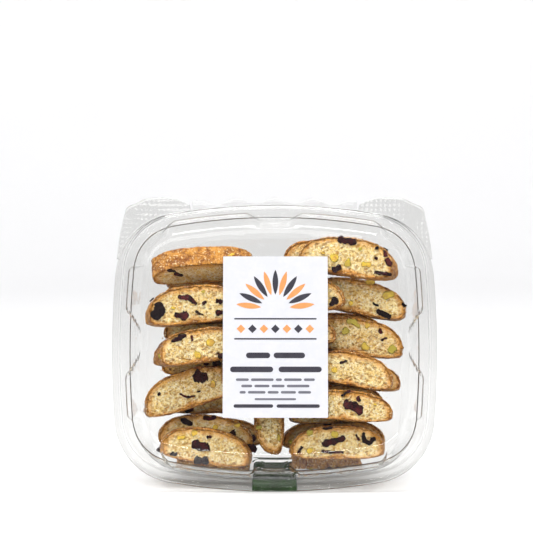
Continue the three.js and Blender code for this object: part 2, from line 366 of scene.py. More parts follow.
def set_attribute(piece: Piece, name: str, values: Array) -> None:
    """Stores one number for each vertex under a name that materials read.

    Args:
        piece: Mesh object that gets the values.
        name: Name of the attribute.
        values: One value for each vertex.
    """
    attribute = piece.data.attributes.new(name, "FLOAT", "POINT")
    attribute.data.foreach_set("value", np.asarray(values, np.float32).ravel())


def solidify(piece: Piece, thickness: float) -> None:
    """Gives a sheet its wall, half to each side, by a live Solidify modifier.

    Args:
        piece: Sheet that gets the wall.
        thickness: Wall thickness in millimetres.
    """
    wall = piece.modifiers.new("wall", "SOLIDIFY")
    wall.thickness = thickness * MM
    wall.offset = 0


def finish_piece(piece: Piece, material: bpy.types.Material, slot: Slot, *nodes: str) -> None:
    """Dresses a piece, fixes it to the pack and hides the CAD nodes that it stands for.

    Args:
        piece: The finished piece.
        material: Its material.
        slot: Slot of the record that the material belongs to; not used.
        *nodes: CAD nodes that the piece replaces.
    """
    piece.data.materials.append(material)
    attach(piece, BODY)
    if nodes:
        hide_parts(*nodes)
    LOG.info("%s: %d faces", piece.name, len(piece.data.polygons))


@dataclass(frozen=True)
class Label:
    """White front label and its print, in millimetres in the pack's plane."""

    centre: Pair = (0.5, 3.0)
    width: float = 58.5
    height: float = 90.0
    node_low: float = 12.3
    node_high: float = 12.5
    paper_low: float = 12.06
    paper_high: float = 12.38
    ink_low: float = 12.42
    ink_high: float = 12.45
    corner: float = 0.5

    def corners(self) -> Array:
        """The eight corners of the label's node, in the pack's plane."""
        x, y = self.centre
        across, up = self.width / 2, self.height / 2
        return np.array([
            [x + i * across, y + j * up, z]
            for i in (-1, 1) for j in (-1, 1) for z in (self.node_low, self.node_high)
        ])


@dataclass(frozen=True)
class PackPlane:
    """Stands the pack's own plane up in the shared frame: a lean back about X, then a shift."""

    lean: float
    shift: Triple = (0.0, 0.0, 0.0)

    @classmethod
    def from_frame(cls, lean: float, label: Label) -> "PackPlane":
        """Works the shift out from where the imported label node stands.

        Args:
            lean: Lean of the pack, in radians.
            label: Label with its place in the pack's plane.

        Returns:
            The plane that puts the label's corners on those of the node.
        """
        low, high = (np.array(corner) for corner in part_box("label"))
        corners = cls(lean).to_frame(label.corners())
        return cls(lean, tuple((low + high - corners.min(axis=0) - corners.max(axis=0)) / 2))

    def to_frame(self, points: Array) -> Array:
        """Metres in the shared frame of millimetres in the pack's plane."""
        x, y, z = np.moveaxis(np.asarray(points, float) * MM, -1, 0)
        back = y * math.sin(self.lean) - z * math.cos(self.lean)
        high = y * math.cos(self.lean) + z * math.sin(self.lean)
        return np.stack([x, back, high], axis=-1) + np.array(self.shift)

    def normal(self) -> Array:
        """Unit vector out of the lid, in the shared frame."""
        return np.array([0, -math.cos(self.lean), math.sin(self.lean)])

    def up(self) -> Array:
        """Unit vector up the lid, in the shared frame."""
        return np.array([0, math.sin(self.lean), math.cos(self.lean)])

    def floor_y(self, z: Array, clear: float) -> Array:
        """Lowest y in the pack's plane, in millimetres, that stays clear of the floor at a given z."""
        return (clear - self.shift[2] / MM - z * math.sin(self.lean)) / math.cos(self.lean)


@dataclass(frozen=True)
class PhotoView:
    """The photograph's view: where its camera stands and which ray a pixel is."""

    origin: Triple
    origin_pixel: Pair = (274.5, 343.25)
    middle_pixel: Pair = (266.5, 266.5)
    frame_pixels: float = 533.0
    distance: float = 0.9
    elevation: float = math.radians(7)
    lens: float = 107.5
    sensor: float = 36.0

    def step(self) -> float:
        """Tangent that one pixel covers."""
        return self.sensor / self.lens / self.frame_pixels

    def place(self) -> Array:
        """Where the camera stands."""
        back = np.array([0, -math.cos(self.elevation), math.sin(self.elevation)])
        return np.array(self.origin) + self.distance * back

    def turn(self) -> Euler:
        """Rotation of the camera that brings the pack's origin onto its pixel."""
        right = math.atan((self.origin_pixel[0] - self.middle_pixel[0]) * self.step())
        below = math.atan((self.origin_pixel[1] - self.middle_pixel[1]) * self.step())
        return Euler((math.pi / 2 - self.elevation + below, 0, right))

    def ray(self, pixel: Pair) -> Vector:
        """Direction from the camera through a pixel.

        Args:
            pixel: Column and row in the photograph.

        Returns:
            Unit vector in the shared frame.
        """
        across = (pixel[0] - self.middle_pixel[0]) * self.step()
        up = (self.middle_pixel[1] - pixel[1]) * self.step()
        return (self.turn().to_matrix() @ Vector((across, up, -1))).normalized()

    def add_camera(self) -> None:
        """Makes the scene's camera."""
        data = bpy.data.cameras.new("camera")
        data.lens, data.sensor_width = self.lens, self.sensor
        data.clip_start, data.clip_end = 0.01, 20
        camera = add_object("camera", data)
        camera.location, camera.rotation_euler = self.place(), self.turn()
        bpy.context.scene.camera = camera


class Nodes:
    """Builds one node tree with short calls."""

    def __init__(self, tree: bpy.types.NodeTree) -> None:
        """Keeps the tree that the nodes go into."""
        self.tree = tree

    def add(self, kind: str, inputs: dict | None = None, **settings: object) -> bpy.types.Node:
        """Adds a node and fills it in.

        Args:
            kind: Blender's name of the node type, after the words ShaderNode.
            inputs: Socket name or number to a plain value or to the socket that feeds it.
            **settings: Properties of the node itself.

        Returns:
            The new node.
        """
        node = self.tree.nodes.new(f"ShaderNode{kind}")
        for name, value in settings.items():
            setattr(node, name, value)
        for name, value in (inputs or {}).items():
            if isinstance(value, Socket):
                self.tree.links.new(value, node.inputs[name])
            else:
                node.inputs[name].default_value = value
        return node

    def math(self, operation: str, first: object, second: object = 0.0) -> Socket:
        """Output of a Math node."""
        return self.add("Math", {0: first, 1: second}, operation=operation).outputs[0]

    def times(self, first: object, second: object) -> Socket:
        """Product of two values."""
        return self.math("MULTIPLY", first, second)

    def noise(self, vector: object, scale: object, detail: float = 2, rough: float = 0.5) -> object:
        """Value of a Noise Texture, 0 to 1."""
        inputs = {"Vector": vector, "Scale": scale, "Detail": detail, "Roughness": rough}
        return self.add("TexNoise", inputs).outputs[0]

    def ramp(self, value: object, low: float, high: float) -> Socket:
        """Value mapped smoothly to 0 at low and 1 at high."""
        inputs = {"Value": value, "From Min": low, "From Max": high}
        return self.add("MapRange", inputs, interpolation_type="SMOOTHSTEP").outputs[0]

    def mix(self, share: object, first: object, second: object) -> Socket:
        """Colour from first to second by a share."""
        return self.add("Mix", {0: share, 6: first, 7: second}, data_type="RGBA").outputs[2]

    def bump(self, height: object, strength: float, distance: float) -> Socket:
        """Normal of a Bump node, with its distance in metres."""
        return self.add("Bump", {"Height": height, "Strength": strength, "Distance": distance}).outputs[0]

    def attribute(self, name: str) -> Socket:
        """Value of a piece's own attribute."""
        return self.add("Attribute", attribute_name=name).outputs["Fac"]

    def group(self, tree: bpy.types.NodeTree, **inputs: object) -> bpy.types.Node:
        """Places a node group and fills its inputs in by name."""
        return self.add("Group", inputs, node_tree=tree)


def new_group(name: str, inputs: dict[str, str], outputs: dict[str, str]) -> tuple[Nodes, object, object]:
    """Starts a shader node group with named sockets.

    Args:
        name: Name of the group.
        inputs: Socket name to socket kind: Vector, Float or Color.
        outputs: Socket name to socket kind.

    Returns:
        The group's node builder, its input node and its output node.
    """
    tree = bpy.data.node_groups.new(name, "ShaderNodeTree")
    for side, sockets in (("INPUT", inputs), ("OUTPUT", outputs)):
        for socket, kind in sockets.items():
            tree.interface.new_socket(socket, in_out=side, socket_type=f"NodeSocket{kind}")
    return Nodes(tree), tree.nodes.new("NodeGroupInput"), tree.nodes.new("NodeGroupOutput")


def pore_group() -> bpy.types.NodeTree:
    """Open pores: a pit round the middle of each Voronoi cell, as wide as the cell's chance number allows.

    Returns:
        Group with the inputs Vector, Scale and Amount and the output Mask.
    """
    nodes, given, result = new_group(
        "open pores", {"Vector": "Vector", "Scale": "Float", "Amount": "Float"}, {"Mask": "Float"}
    )
    cells = nodes.add("TexVoronoi", {"Vector": given.outputs["Vector"], "Scale": given.outputs["Scale"]})
    chance = nodes.add("SeparateColor", {0: cells.outputs["Color"]}).outputs[0]
    size = nodes.times(nodes.math("SUBTRACT", given.outputs["Amount"], chance), 0.75)
    edge = nodes.math("SUBTRACT", size, cells.outputs["Distance"])
    nodes.tree.links.new(nodes.ramp(edge, 0.0, 0.2), result.inputs["Mask"])
    return nodes.tree


def patch_group() -> bpy.types.NodeTree:
    """Uneven patches between two colours: a coarse and a fine noise, added and stretched.

    Returns:
        Group with the inputs Vector, Scale, First and Second and the outputs Color and Mask.
    """
    nodes, given, result = new_group(
        "uneven patches",
        {"Vector": "Vector", "Scale": "Float", "First": "Color", "Second": "Color"},
        {"Color": "Color", "Mask": "Float"},
    )
    vector, scale = given.outputs["Vector"], given.outputs["Scale"]
    coarse = nodes.times(nodes.noise(vector, scale, 3, 0.6), 0.6)
    fine = nodes.times(nodes.noise(vector, nodes.times(scale, 4.3), 2, 0.6), 0.4)
    mask = nodes.ramp(nodes.math("ADD", coarse, fine), 0.38, 0.62)
    colour = nodes.mix(mask, given.outputs["First"], given.outputs["Second"])
    nodes.tree.links.new(colour, result.inputs["Color"])
    nodes.tree.links.new(mask, result.inputs["Mask"])
    return nodes.tree


@dataclass(frozen=True)
class Groups:
    """The node groups that several finishes share."""

    pores: bpy.types.NodeTree
    patches: bpy.types.NodeTree


class Finish:
    """Starts a material and gives its object coordinates to the finishes below."""

    def __init__(self, name: str) -> None:
        """Makes an empty node material with an output node.

        Args:
            name: Name of the material.
        """
        self.material = bpy.data.materials.new(name)
        self.material.use_nodes = True
        self.material.node_tree.nodes.clear()
        self.nodes = Nodes(self.material.node_tree)
        self.output = self.nodes.add("OutputMaterial")
        self.place = self.nodes.add("TexCoord").outputs["Object"]

    def patches(self, groups: Groups, scale: float, first: Colour, second: Colour) -> bpy.types.Node:
        """Places the uneven patches between two colours."""
        return self.nodes.group(groups.patches, Vector=self.place, Scale=scale, First=first, Second=second)

    def shade(self, shader: bpy.types.Node) -> bpy.types.Material:
        """Connects the shader to the output and hands the material back."""
        self.nodes.tree.links.new(shader.outputs[0], self.output.inputs["Surface"])
        return self.material


@dataclass(frozen=True)
class ClearPlastic:
    """Thin formed sheet with slightly wavy gloss, which lets light through to what is inside."""

    tint: Colour = srgb(243, 243, 242)
    shade: Colour = srgb(248, 248, 247)
    ior: float = 1.32
    roughness: float = 0.015
    wave_scale: float = 70.0

    def build(self) -> bpy.types.Material:
        """Glass for the eye and a light filter for shadow rays."""
        finish = Finish("clear plastic")
        nodes = finish.nodes
        wave = nodes.noise(finish.place, self.wave_scale, 2)
        glass = nodes.add("BsdfPrincipled", {
            "Base Color": self.tint, "Roughness": self.roughness, "IOR": self.ior,
            "Transmission Weight": 1.0, "Normal": nodes.bump(wave, 0.1, 0.002),
        })
        filtered = nodes.add("BsdfTransparent", {"Color": self.shade})
        shadow = nodes.add("LightPath").outputs["Is Shadow Ray"]
        return finish.shade(nodes.add("MixShader", {0: shadow, 1: glass.outputs[0], 2: filtered.outputs[0]}))


@dataclass(frozen=True)
class BakedDough:
    """Pale porous crumb on the cut faces and golden brown crust round them."""

    groups: Groups
    # pale: painted highlight, the light cream that spots on the crumb are lifted to.
    pale: Colour = srgb(255, 247, 216)
    crumb: Colour = srgb(253, 233, 176)
    golden: Colour = srgb(242, 203, 122)
    pore_shade: Colour = srgb(196, 130, 40)
    # pore: painted shade, the darker ochre laid into the open pores and bubbles.
    rim: Colour = srgb(226, 150, 58)
    crust: Colour = srgb(212, 148, 60)
    deep_crust: Colour = srgb(132, 72, 22)
    # sugar: painted glints, the light cream laid on the crust's crackle peaks.
    glint: Colour = srgb(255, 232, 184)
    pore_kinds: tuple[Pair, ...] = ((1250.0, 0.98), (540.0, 0.62))
    fine_pore_share: float = 0.7
    # How far the painted shade darkens the pores.
    pore_shade_share: float = 0.74
    patch_scale: float = 210.0
    # Size, range and strength of the painted highlight spots on the crumb.
    highlight_scale: float = 820.0
    highlight_range: Pair = (0.5, 0.66)
    highlight_share: float = 0.7
    toast_share: float = 0.9
    crust_from_to: Pair = (0.3, 0.85)
    crust_patch_scale: float = 230.0
    crackle_scale: float = 430.0
    crackle_range: Pair = (0.46, 0.56)
    # Size, range and strength of the painted glints on the crust.
    glint_scale: float = 1100.0
    glint_range: Pair = (0.55, 0.64)
    glint_share: float = 0.8
    grain_scale: float = 1000.0
    grain_height: float = 0.8
    flake_height: float = 2.4
    relief: float = 0.0011
    crumb_roughness: float = 0.88
    crust_gloss: float = 0.42

    def build(self) -> bpy.types.Material:
        """One material for whole slices, whose crust attribute chooses between the two finishes. The crumb
        carries painted highlight spots and painted shade in its pores, and the crust painted glints.
        """
        finish = Finish("baked dough")
        nodes, place = finish.nodes, finish.place
        crust, pit, toast = (nodes.attribute(name) for name in ("crust", "pit", "toast"))
        fine, coarse = (
            nodes.group(self.groups.pores, Vector=place, Scale=scale, Amount=amount).outputs["Mask"]
            for scale, amount in self.pore_kinds
        )
        small = nodes.times(fine, self.fine_pore_share)
        holes = nodes.math("MAXIMUM", small, nodes.math("MAXIMUM", coarse, pit))
        patches = finish.patches(self.groups, self.patch_scale, self.crumb, self.golden).outputs["Color"]
        # Painted highlights: noise spots that lift the crumb towards pale.
        highlight_spots = nodes.ramp(nodes.noise(place, self.highlight_scale, 2), *self.highlight_range)
        fresh = nodes.mix(nodes.times(highlight_spots, self.highlight_share), patches, self.pale)
        toasted = nodes.mix(nodes.times(toast, self.toast_share), fresh, self.rim)
        # Painted shade: the open pores and bubbles darkened towards the pore colour.
        crumb = nodes.mix(nodes.times(holes, self.pore_shade_share), toasted, self.pore_shade)
        browned = finish.patches(self.groups, self.crust_patch_scale, self.crust, self.deep_crust)
        edge = nodes.ramp(crust, *self.crust_from_to)
        crackle = nodes.noise(place, self.crackle_scale, 3, 0.6)
        # Painted glints: light spots where the noise peaks meet the crackle's peaks on the crust.
        sparkle = nodes.ramp(nodes.noise(place, self.glint_scale, 2, 0.5), *self.glint_range)
        peaks = nodes.times(sparkle, nodes.ramp(crackle, *self.crackle_range))
        glinted_crust = nodes.mix(nodes.times(peaks, self.glint_share), browned.outputs["Color"], self.glint)
        grain = nodes.noise(place, self.grain_scale, 4, 0.65)
        open_part = nodes.times(holes, nodes.math("SUBTRACT", 1.0, edge))
        flakes = nodes.times(nodes.times(crackle, edge), self.flake_height)
        rough = nodes.math("ADD", nodes.times(grain, self.grain_height), flakes)
        gloss = nodes.times(edge, self.crust_gloss)
        return finish.shade(nodes.add("BsdfPrincipled", {
            "Base Color": nodes.mix(edge, crumb, glinted_crust),
            "Roughness": nodes.math("SUBTRACT", self.crumb_roughness, gloss),
            "Specular IOR Level": 0.35,
            "Normal": nodes.bump(nodes.math("SUBTRACT", rough, open_part), 1.0, self.relief),
        }))


@dataclass(frozen=True)
class DriedFruit:
    """Dark wrinkled dried fruit, cut through, with a dull sticky shine."""

    groups: Groups
    dark: Colour = srgb(20, 7, 12)
    red: Colour = srgb(104, 30, 36)

    def build(self) -> bpy.types.Material:
        """Maroon patches in near black, with fine wrinkles."""
        finish = Finish("dried fruit")
        nodes, place = finish.nodes, finish.place
        patches = finish.patches(self.groups, 330.0, self.dark, self.red)
        inner = nodes.math("SUBTRACT", 1.0, nodes.attribute("rim"))
        colour = nodes.mix(
            nodes.times(nodes.attribute("tint"), inner), self.dark, patches.outputs["Color"]
        )
        wrinkles = nodes.noise(place, 1100.0, 4, 0.7)
        gloss = nodes.math("ADD", 0.3, nodes.times(patches.outputs["Mask"], 0.3))
        return finish.shade(nodes.add("BsdfPrincipled", {
            "Base Color": colour, "Roughness": gloss, "Specular IOR Level": 0.25,
            "Normal": nodes.bump(wrinkles, 1.0, 0.0012),
        }))


@dataclass(frozen=True)
class GreenNut:
    """Cut green nuts, from fresh green over yellow to baked ochre."""

    groups: Groups
    yellow: Colour = srgb(236, 202, 58)
    green: Colour = srgb(164, 152, 34)
    ochre: Colour = srgb(196, 144, 46)
    skin: Colour = srgb(96, 84, 30)

    def build(self) -> bpy.types.Material:
        """Each nut's tint chooses its own blend, with patches over it."""
        finish = Finish("green nuts")
        nodes, place = finish.nodes, finish.place
        patches = finish.patches(self.groups, 360.0, self.yellow, self.ochre).outputs["Color"]
        flesh = nodes.mix(nodes.ramp(nodes.attribute("tint"), 0.3, 1.1), patches, self.green)
        colour = nodes.mix(nodes.times(nodes.attribute("rim"), 0.7), flesh, self.skin)
        grain = nodes.noise(place, 1200.0, 3, 0.6)
        return finish.shade(nodes.add("BsdfPrincipled", {
            "Base Color": colour, "Roughness": nodes.math("ADD", 0.4, nodes.times(grain, 0.25)),
            "Normal": nodes.bump(grain, 0.5, 0.0004),
        }))


@dataclass(frozen=True)
class Paper:
    """Coated paper with a faint fibre grain."""

    name: str
    colour: Colour
    shade: Colour
    groups: Groups
    roughness: float = 0.5

    def build(self) -> bpy.types.Material:
        """Two close tones and a fine grain."""
        finish = Finish(self.name)
        nodes, place = finish.nodes, finish.place
        patches = finish.patches(self.groups, 120.0, self.colour, self.shade)
        grain = nodes.noise(place, 2600.0, 3, 0.6)
        return finish.shade(nodes.add("BsdfPrincipled", {
            "Base Color": patches.outputs["Color"], "Specular IOR Level": 0.25,
            "Roughness": nodes.math("ADD", self.roughness, nodes.times(grain, 0.12)),
            "Normal": nodes.bump(grain, 0.15, 0.0002),
        }))


@dataclass(frozen=True)
class Backdrop:
    """Plain pale sweep with painted shade: grey far in front of the pack, so that the clear lid mirrors a dim
    room.
    """

    pale: Colour = srgb(247, 247, 248)
    # dim: painted shade of the sweep's front part.
    dim: Colour = srgb(136, 136, 137)
    dim_from: float = -0.55
    dim_to: float = -1.15

    def build(self) -> bpy.types.Material:
        """Matt white that fades to a painted shade of grey towards the front, with a faint unevenness in its
        roughness.
        """
        finish = Finish("pale sweep")
        nodes = finish.nodes
        cloud = nodes.noise(finish.place, 6.0, 2)
        depth = nodes.add("SeparateXYZ", {0: finish.place}).outputs[1]
        # Painted shade: grey towards the front stands in for a dim part of the room.
        dimness = nodes.ramp(nodes.times(depth, -1.0), -self.dim_from, -self.dim_to)
        return finish.shade(nodes.add("BsdfPrincipled", {
            "Base Color": nodes.mix(dimness, self.pale, self.dim), "Specular IOR Level": 0.1,
            "Roughness": nodes.math("ADD", 0.75, nodes.times(cloud, 0.1)),
        }))


@dataclass(frozen=True)
class SliceFrame:
    """Where one slice lies and how large it is, read from its CAD node.

    Its own axes, in millimetres, run x along the slice, y from the flat crust up to the dome, and z out
    of the front cut face, with z = 0 on that face.
    """

    name: str
    origin: Array
    axes: Array
    length: float
    height: float
    thick: float

    @classmethod
    def from_node(cls, name: str, plane: PackPlane) -> "SliceFrame":
        """Finds the slice's axes from the spread of its points.

        The thickness is the direction in which the points stand on the fewest levels, the length is the
        longer of the other two, and the ends of a slice lie nearer its flat crust than its dome.

        Args:
            name: Name of the CAD node.
            plane: The pack's plane, which tells front from back.

        Returns:
            The slice's frame.
        """
        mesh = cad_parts[name].data
        points = np.zeros(len(mesh.vertices) * 3)
        mesh.vertices.foreach_get("co", points)
        points = np.unique(points.reshape(-1, 3).round(7), axis=0)
        middle = (points.min(axis=0) + points.max(axis=0)) / 2
        axes = np.linalg.eigh(np.cov((points - middle).T))[1].T
        along = (points - middle) @ axes.T
        order = sorted(range(3), key=lambda i: len(np.unique(along[:, i].round(5))))
        thick_axis = axes[order[0]]
        length_axis, height_axis = sorted(
            (axes[i] for i in order[1:]), key=lambda axis: -np.ptp(points @ axis)
        )
        thick_axis = thick_axis * (1 if thick_axis @ (plane.normal() + 0.1 * plane.up()) > 0 else -1)
        ends = points[np.argsort(np.abs((points - middle) @ length_axis))[-8:]]
        height = points @ height_axis
        if np.mean(ends @ height_axis) > (height.min() + height.max()) / 2:
            height_axis = -height_axis
        length_axis = np.cross(height_axis, thick_axis)
        turned = np.stack([length_axis, height_axis, thick_axis])
        local = points @ turned.T
        low, high = local.min(axis=0), local.max(axis=0)
        origin = np.array([(low[0] + high[0]) / 2, low[1], high[2]]) @ turned
        return cls(name, origin, turned, *((high - low) / MM))

    def to_frame(self, points: Array) -> Array:
        """Metres in the shared frame of millimetres in the slice's own axes."""
        return self.origin + (np.asarray(points) * MM) @ self.axes


@dataclass(frozen=True)
class SliceLook:
    """Fineness of a slice, how many random morsels each face is offered, and its ends' slopes in mm."""

    cells: tuple[int, int, int]
    bubbles: int
    front_morsels: int
    back_morsels: int
    slopes: Pair = (1.0, 1.0)


@dataclass(frozen=True)
class BiscottiSlice:
    """One slice of the flat loaf: two porous cut faces inside a browned crust.

    Lengths are in millimetres. The pairs bulges, knuckles and ragged are a noise's size and strength,
    noise_circle is a radius and a height, and names with from_to are the two ends of a ramp.
    """

    place: SliceFrame
    look: SliceLook
    seed: int
    waist_share: float = 0.3
    side_power: float = 0.85
    dome_power: float = 0.95
    foot_power: float = 0.55
    edge_radius: float = 0.8
    side_room: float = 0.15
    kept_share: float = 0.98
    bulges: Pair = (0.8, 0.032)
    knuckles: Pair = (0.24, 0.012)
    noise_circle: Pair = (1.6, 0.37)
    knob_size: float = 5.0
    grain_size: float = 1.4
    crust_inset: float = -0.5
    crust_relief: float = 0.55
    face_from_to: Pair = (0.3, 1.4)
    face_relief: Triple = (-0.2, 0.16, 0.1)
    ragged: Pair = (2.4, 0.9)
    crust_from_to: Pair = (0.8, 3.2)
    toast_from_to: Pair = (1.6, 6.5)
    toasted_zone: Triple = (16.0, 0.6, 0.95)
    bubble_radii: Pair = (0.45, 1.15)

    def waist(self) -> float:
        """Height above the flat crust at which the slice is longest."""
        return self.waist_share * self.place.height

    def outline(self, angle: Array) -> Array:
        """Edge of the slice seen from its cut face, measured from the middle of its waist.

        Along x it is the cosine, and along y the sine, each raised to a power that fattens the curve: the
        dome is nearly a half ellipse and the flat crust nearly a box.

        Args:
            angle: Angle round the slice in radians, 0 at the right end and a quarter turn at the dome.

        Returns:
            x and y of the edge.
        """
        across = np.sign(np.cos(angle)) * np.abs(np.cos(angle)) ** self.side_power
        rise = np.sin(angle)
        up = (self.place.height - self.waist()) * np.clip(rise, 0, None) ** self.dome_power
        down = self.waist() * np.clip(-rise, 0, None) ** self.foot_power
        return np.stack([self.place.length / 2 * across, up - down], axis=-1)

    def unevenness(self, angle: Array) -> Array:
        """Share of the outline that the real edge keeps: a slow and a fine noise read along a circle."""
        radius, level = self.noise_circle
        circle = np.stack([radius * np.cos(angle), radius * np.sin(angle), 0 * angle + level], axis=-1)
        (bulge_size, bulge), (knuckle_size, knuckle) = self.bulges, self.knuckles
        slow = 0.5 + 0.5 * rough_noise(circle, bulge_size, self.seed, 2)
        return self.kept_share - bulge * slow + knuckle * rough_noise(circle, knuckle_size, self.seed + 1, 2)

    def build(self) -> Piece:
        """Makes the slice.

        A square lattice is bent into a disc (u times the root of 1 - v²/2, v times the root of 1 - u²/2)
        and the disc is stretched to the outline. Near a cut edge the distance to the edge is laid round a
        quarter circle. Noise then roughens the crust, and bowls (1 - distance²)² open the crumb.

        Returns:
            The finished mesh object with the attributes crust, pit and toast.
        """
        place = self.place
        ijk, faces = lattice_box(self.look.cells)
        u, v, w = (2 * ijk[:, i] / self.look.cells[i] - 1 for i in range(3))
        disc = np.stack([u * np.sqrt(1 - v * v / 2), v * np.sqrt(1 - u * u / 2)], axis=-1)
        reach = np.clip(np.linalg.norm(disc, axis=1), 0, 1)
        angle = np.arctan2(disc[:, 1], disc[:, 0])
        edge = self.outline(angle) * self.unevenness(angle)[:, None]
        far = np.linalg.norm(edge, axis=1)
        outward = edge / far[:, None]
        arc = self.edge_radius * math.pi / 4
        on_face = np.abs(w) == 1
        half_thick = place.thick / 2 - self.side_room
        walked = np.where(
            on_face,
            (1 - reach) * (far - self.edge_radius + arc),
            (1 - np.abs(w)) * (half_thick - self.edge_radius + arc),
        )
        turn = np.clip(walked / self.edge_radius, 0, math.pi / 4) * np.where(on_face, 1, -1) + math.pi / 4
        beyond = np.clip(walked - arc, 0, None)
        inset = self.edge_radius * (1 - np.cos(turn)) + np.where(on_face, beyond, 0)
        depth = self.edge_radius * (1 - np.sin(turn)) + np.where(on_face, 0, beyond)
        flat = (far - inset)[:, None] * outward
        side = np.where(w == 0, 1, np.sign(w))
        z = -place.thick / 2 + side * (half_thick - depth)
        forward = np.clip(1 + z / place.thick, 0, 1)
        end = (flat[:, 0] / (place.length / 2)) ** 2
        left_slope, right_slope = self.look.slopes
        slope = np.where(flat[:, 0] < 0, left_slope, -right_slope)
        flat[:, 0] += slope * end * forward
        points = np.column_stack([flat[:, 0], flat[:, 1] + self.waist(), z])

        knobs = rough_noise(points, self.knob_size, self.seed + 3, 2)
        grain = rough_noise(points, self.grain_size, self.seed + 5, 2)
        face_share = smoothstep(*self.face_from_to, inset) * on_face
        radial = (self.crust_inset + self.crust_relief * knobs + self.crust_relief * grain) * (1 - face_share)
        points[:, :2] += radial[:, None] * outward
        pit, bowls = self.bubbles(points, on_face, side)
        sunk, knobby, grainy = self.face_relief
        points[:, 2] += side * face_share * (sunk + knobby * knobs + grainy * grain - bowls)

        piece = add_mesh(place.name.replace("biscotti", "biscotto"), place.to_frame(points), faces.tolist())
        noise_size, noise_reach = self.ragged
        ragged = inset + noise_reach * rough_noise(points, noise_size, self.seed + 9, 2)
        set_attribute(piece, "crust", np.where(on_face, 1 - smoothstep(*self.crust_from_to, ragged), 1.0))
        set_attribute(piece, "pit", pit * face_share)
        zone_size, *zone_range = self.toasted_zone
        zone = 0.5 + 0.5 * rough_noise(points, zone_size, self.seed + 11, 2)
        toast = (1 - smoothstep(*self.toast_from_to, ragged)) * 0.9 + 0.3 * smoothstep(*zone_range, zone)
        set_attribute(piece, "toast", np.clip(toast, 0, 1) * on_face)
        return piece

    def bubbles(self, points: Array, on_face: Array, side: Array) -> tuple[Array, Array]:
        """Open bubbles of the crumb on both cut faces, each a bowl (1 - distance²)².

        Args:
            points: Points of the slice in its own axes.
            on_face: True for the points of the cut faces.
            side: 1 for the front half and -1 for the back half.

        Returns:
            How far each point lies in a bubble, 0 to 1, and how deep it sinks, in millimetres.
        """
        random = np.random.default_rng(self.seed)
        mask, bowls = np.zeros(len(points)), np.zeros(len(points))
        for which in (-1, 1):
            turn = random.uniform(0, 2 * math.pi, self.look.bubbles)
            share = np.sqrt(random.uniform(0, 0.9, self.look.bubbles))
            centres = self.outline(turn) * share[:, None] + np.array([0, self.waist()])
            radius = random.uniform(*self.bubble_radii, self.look.bubbles)
            chosen = np.flatnonzero(on_face & (side == which))
            gap = points[chosen, None, :2] - centres[None]
            near = np.clip(1 - (gap[..., 0] ** 2 + (gap[..., 1] * 1.25) ** 2) / radius**2, 0, 1)
            mask[chosen] = near.max(axis=1)
            bowls[chosen] = (near**2 * radius * 0.75).max(axis=1)
        return mask, bowls


@dataclass(frozen=True)
class Morsel:
    """One cut piece of fruit or nut on a slice: its width and the line through it, in photo pixels."""

    filling: Filling
    width: float
    line: tuple[Pair, ...]


def fruit(width: float, *line: Pair) -> Morsel:
    """Morsel of dried fruit, from its width and the pixels of its middle line."""
    return Morsel(Filling.FRUIT, width, line)


def nut(width: float, *line: Pair) -> Morsel:
    """Morsel of green nut, from its width and the pixels of its middle line."""
    return Morsel(Filling.NUT, width, line)


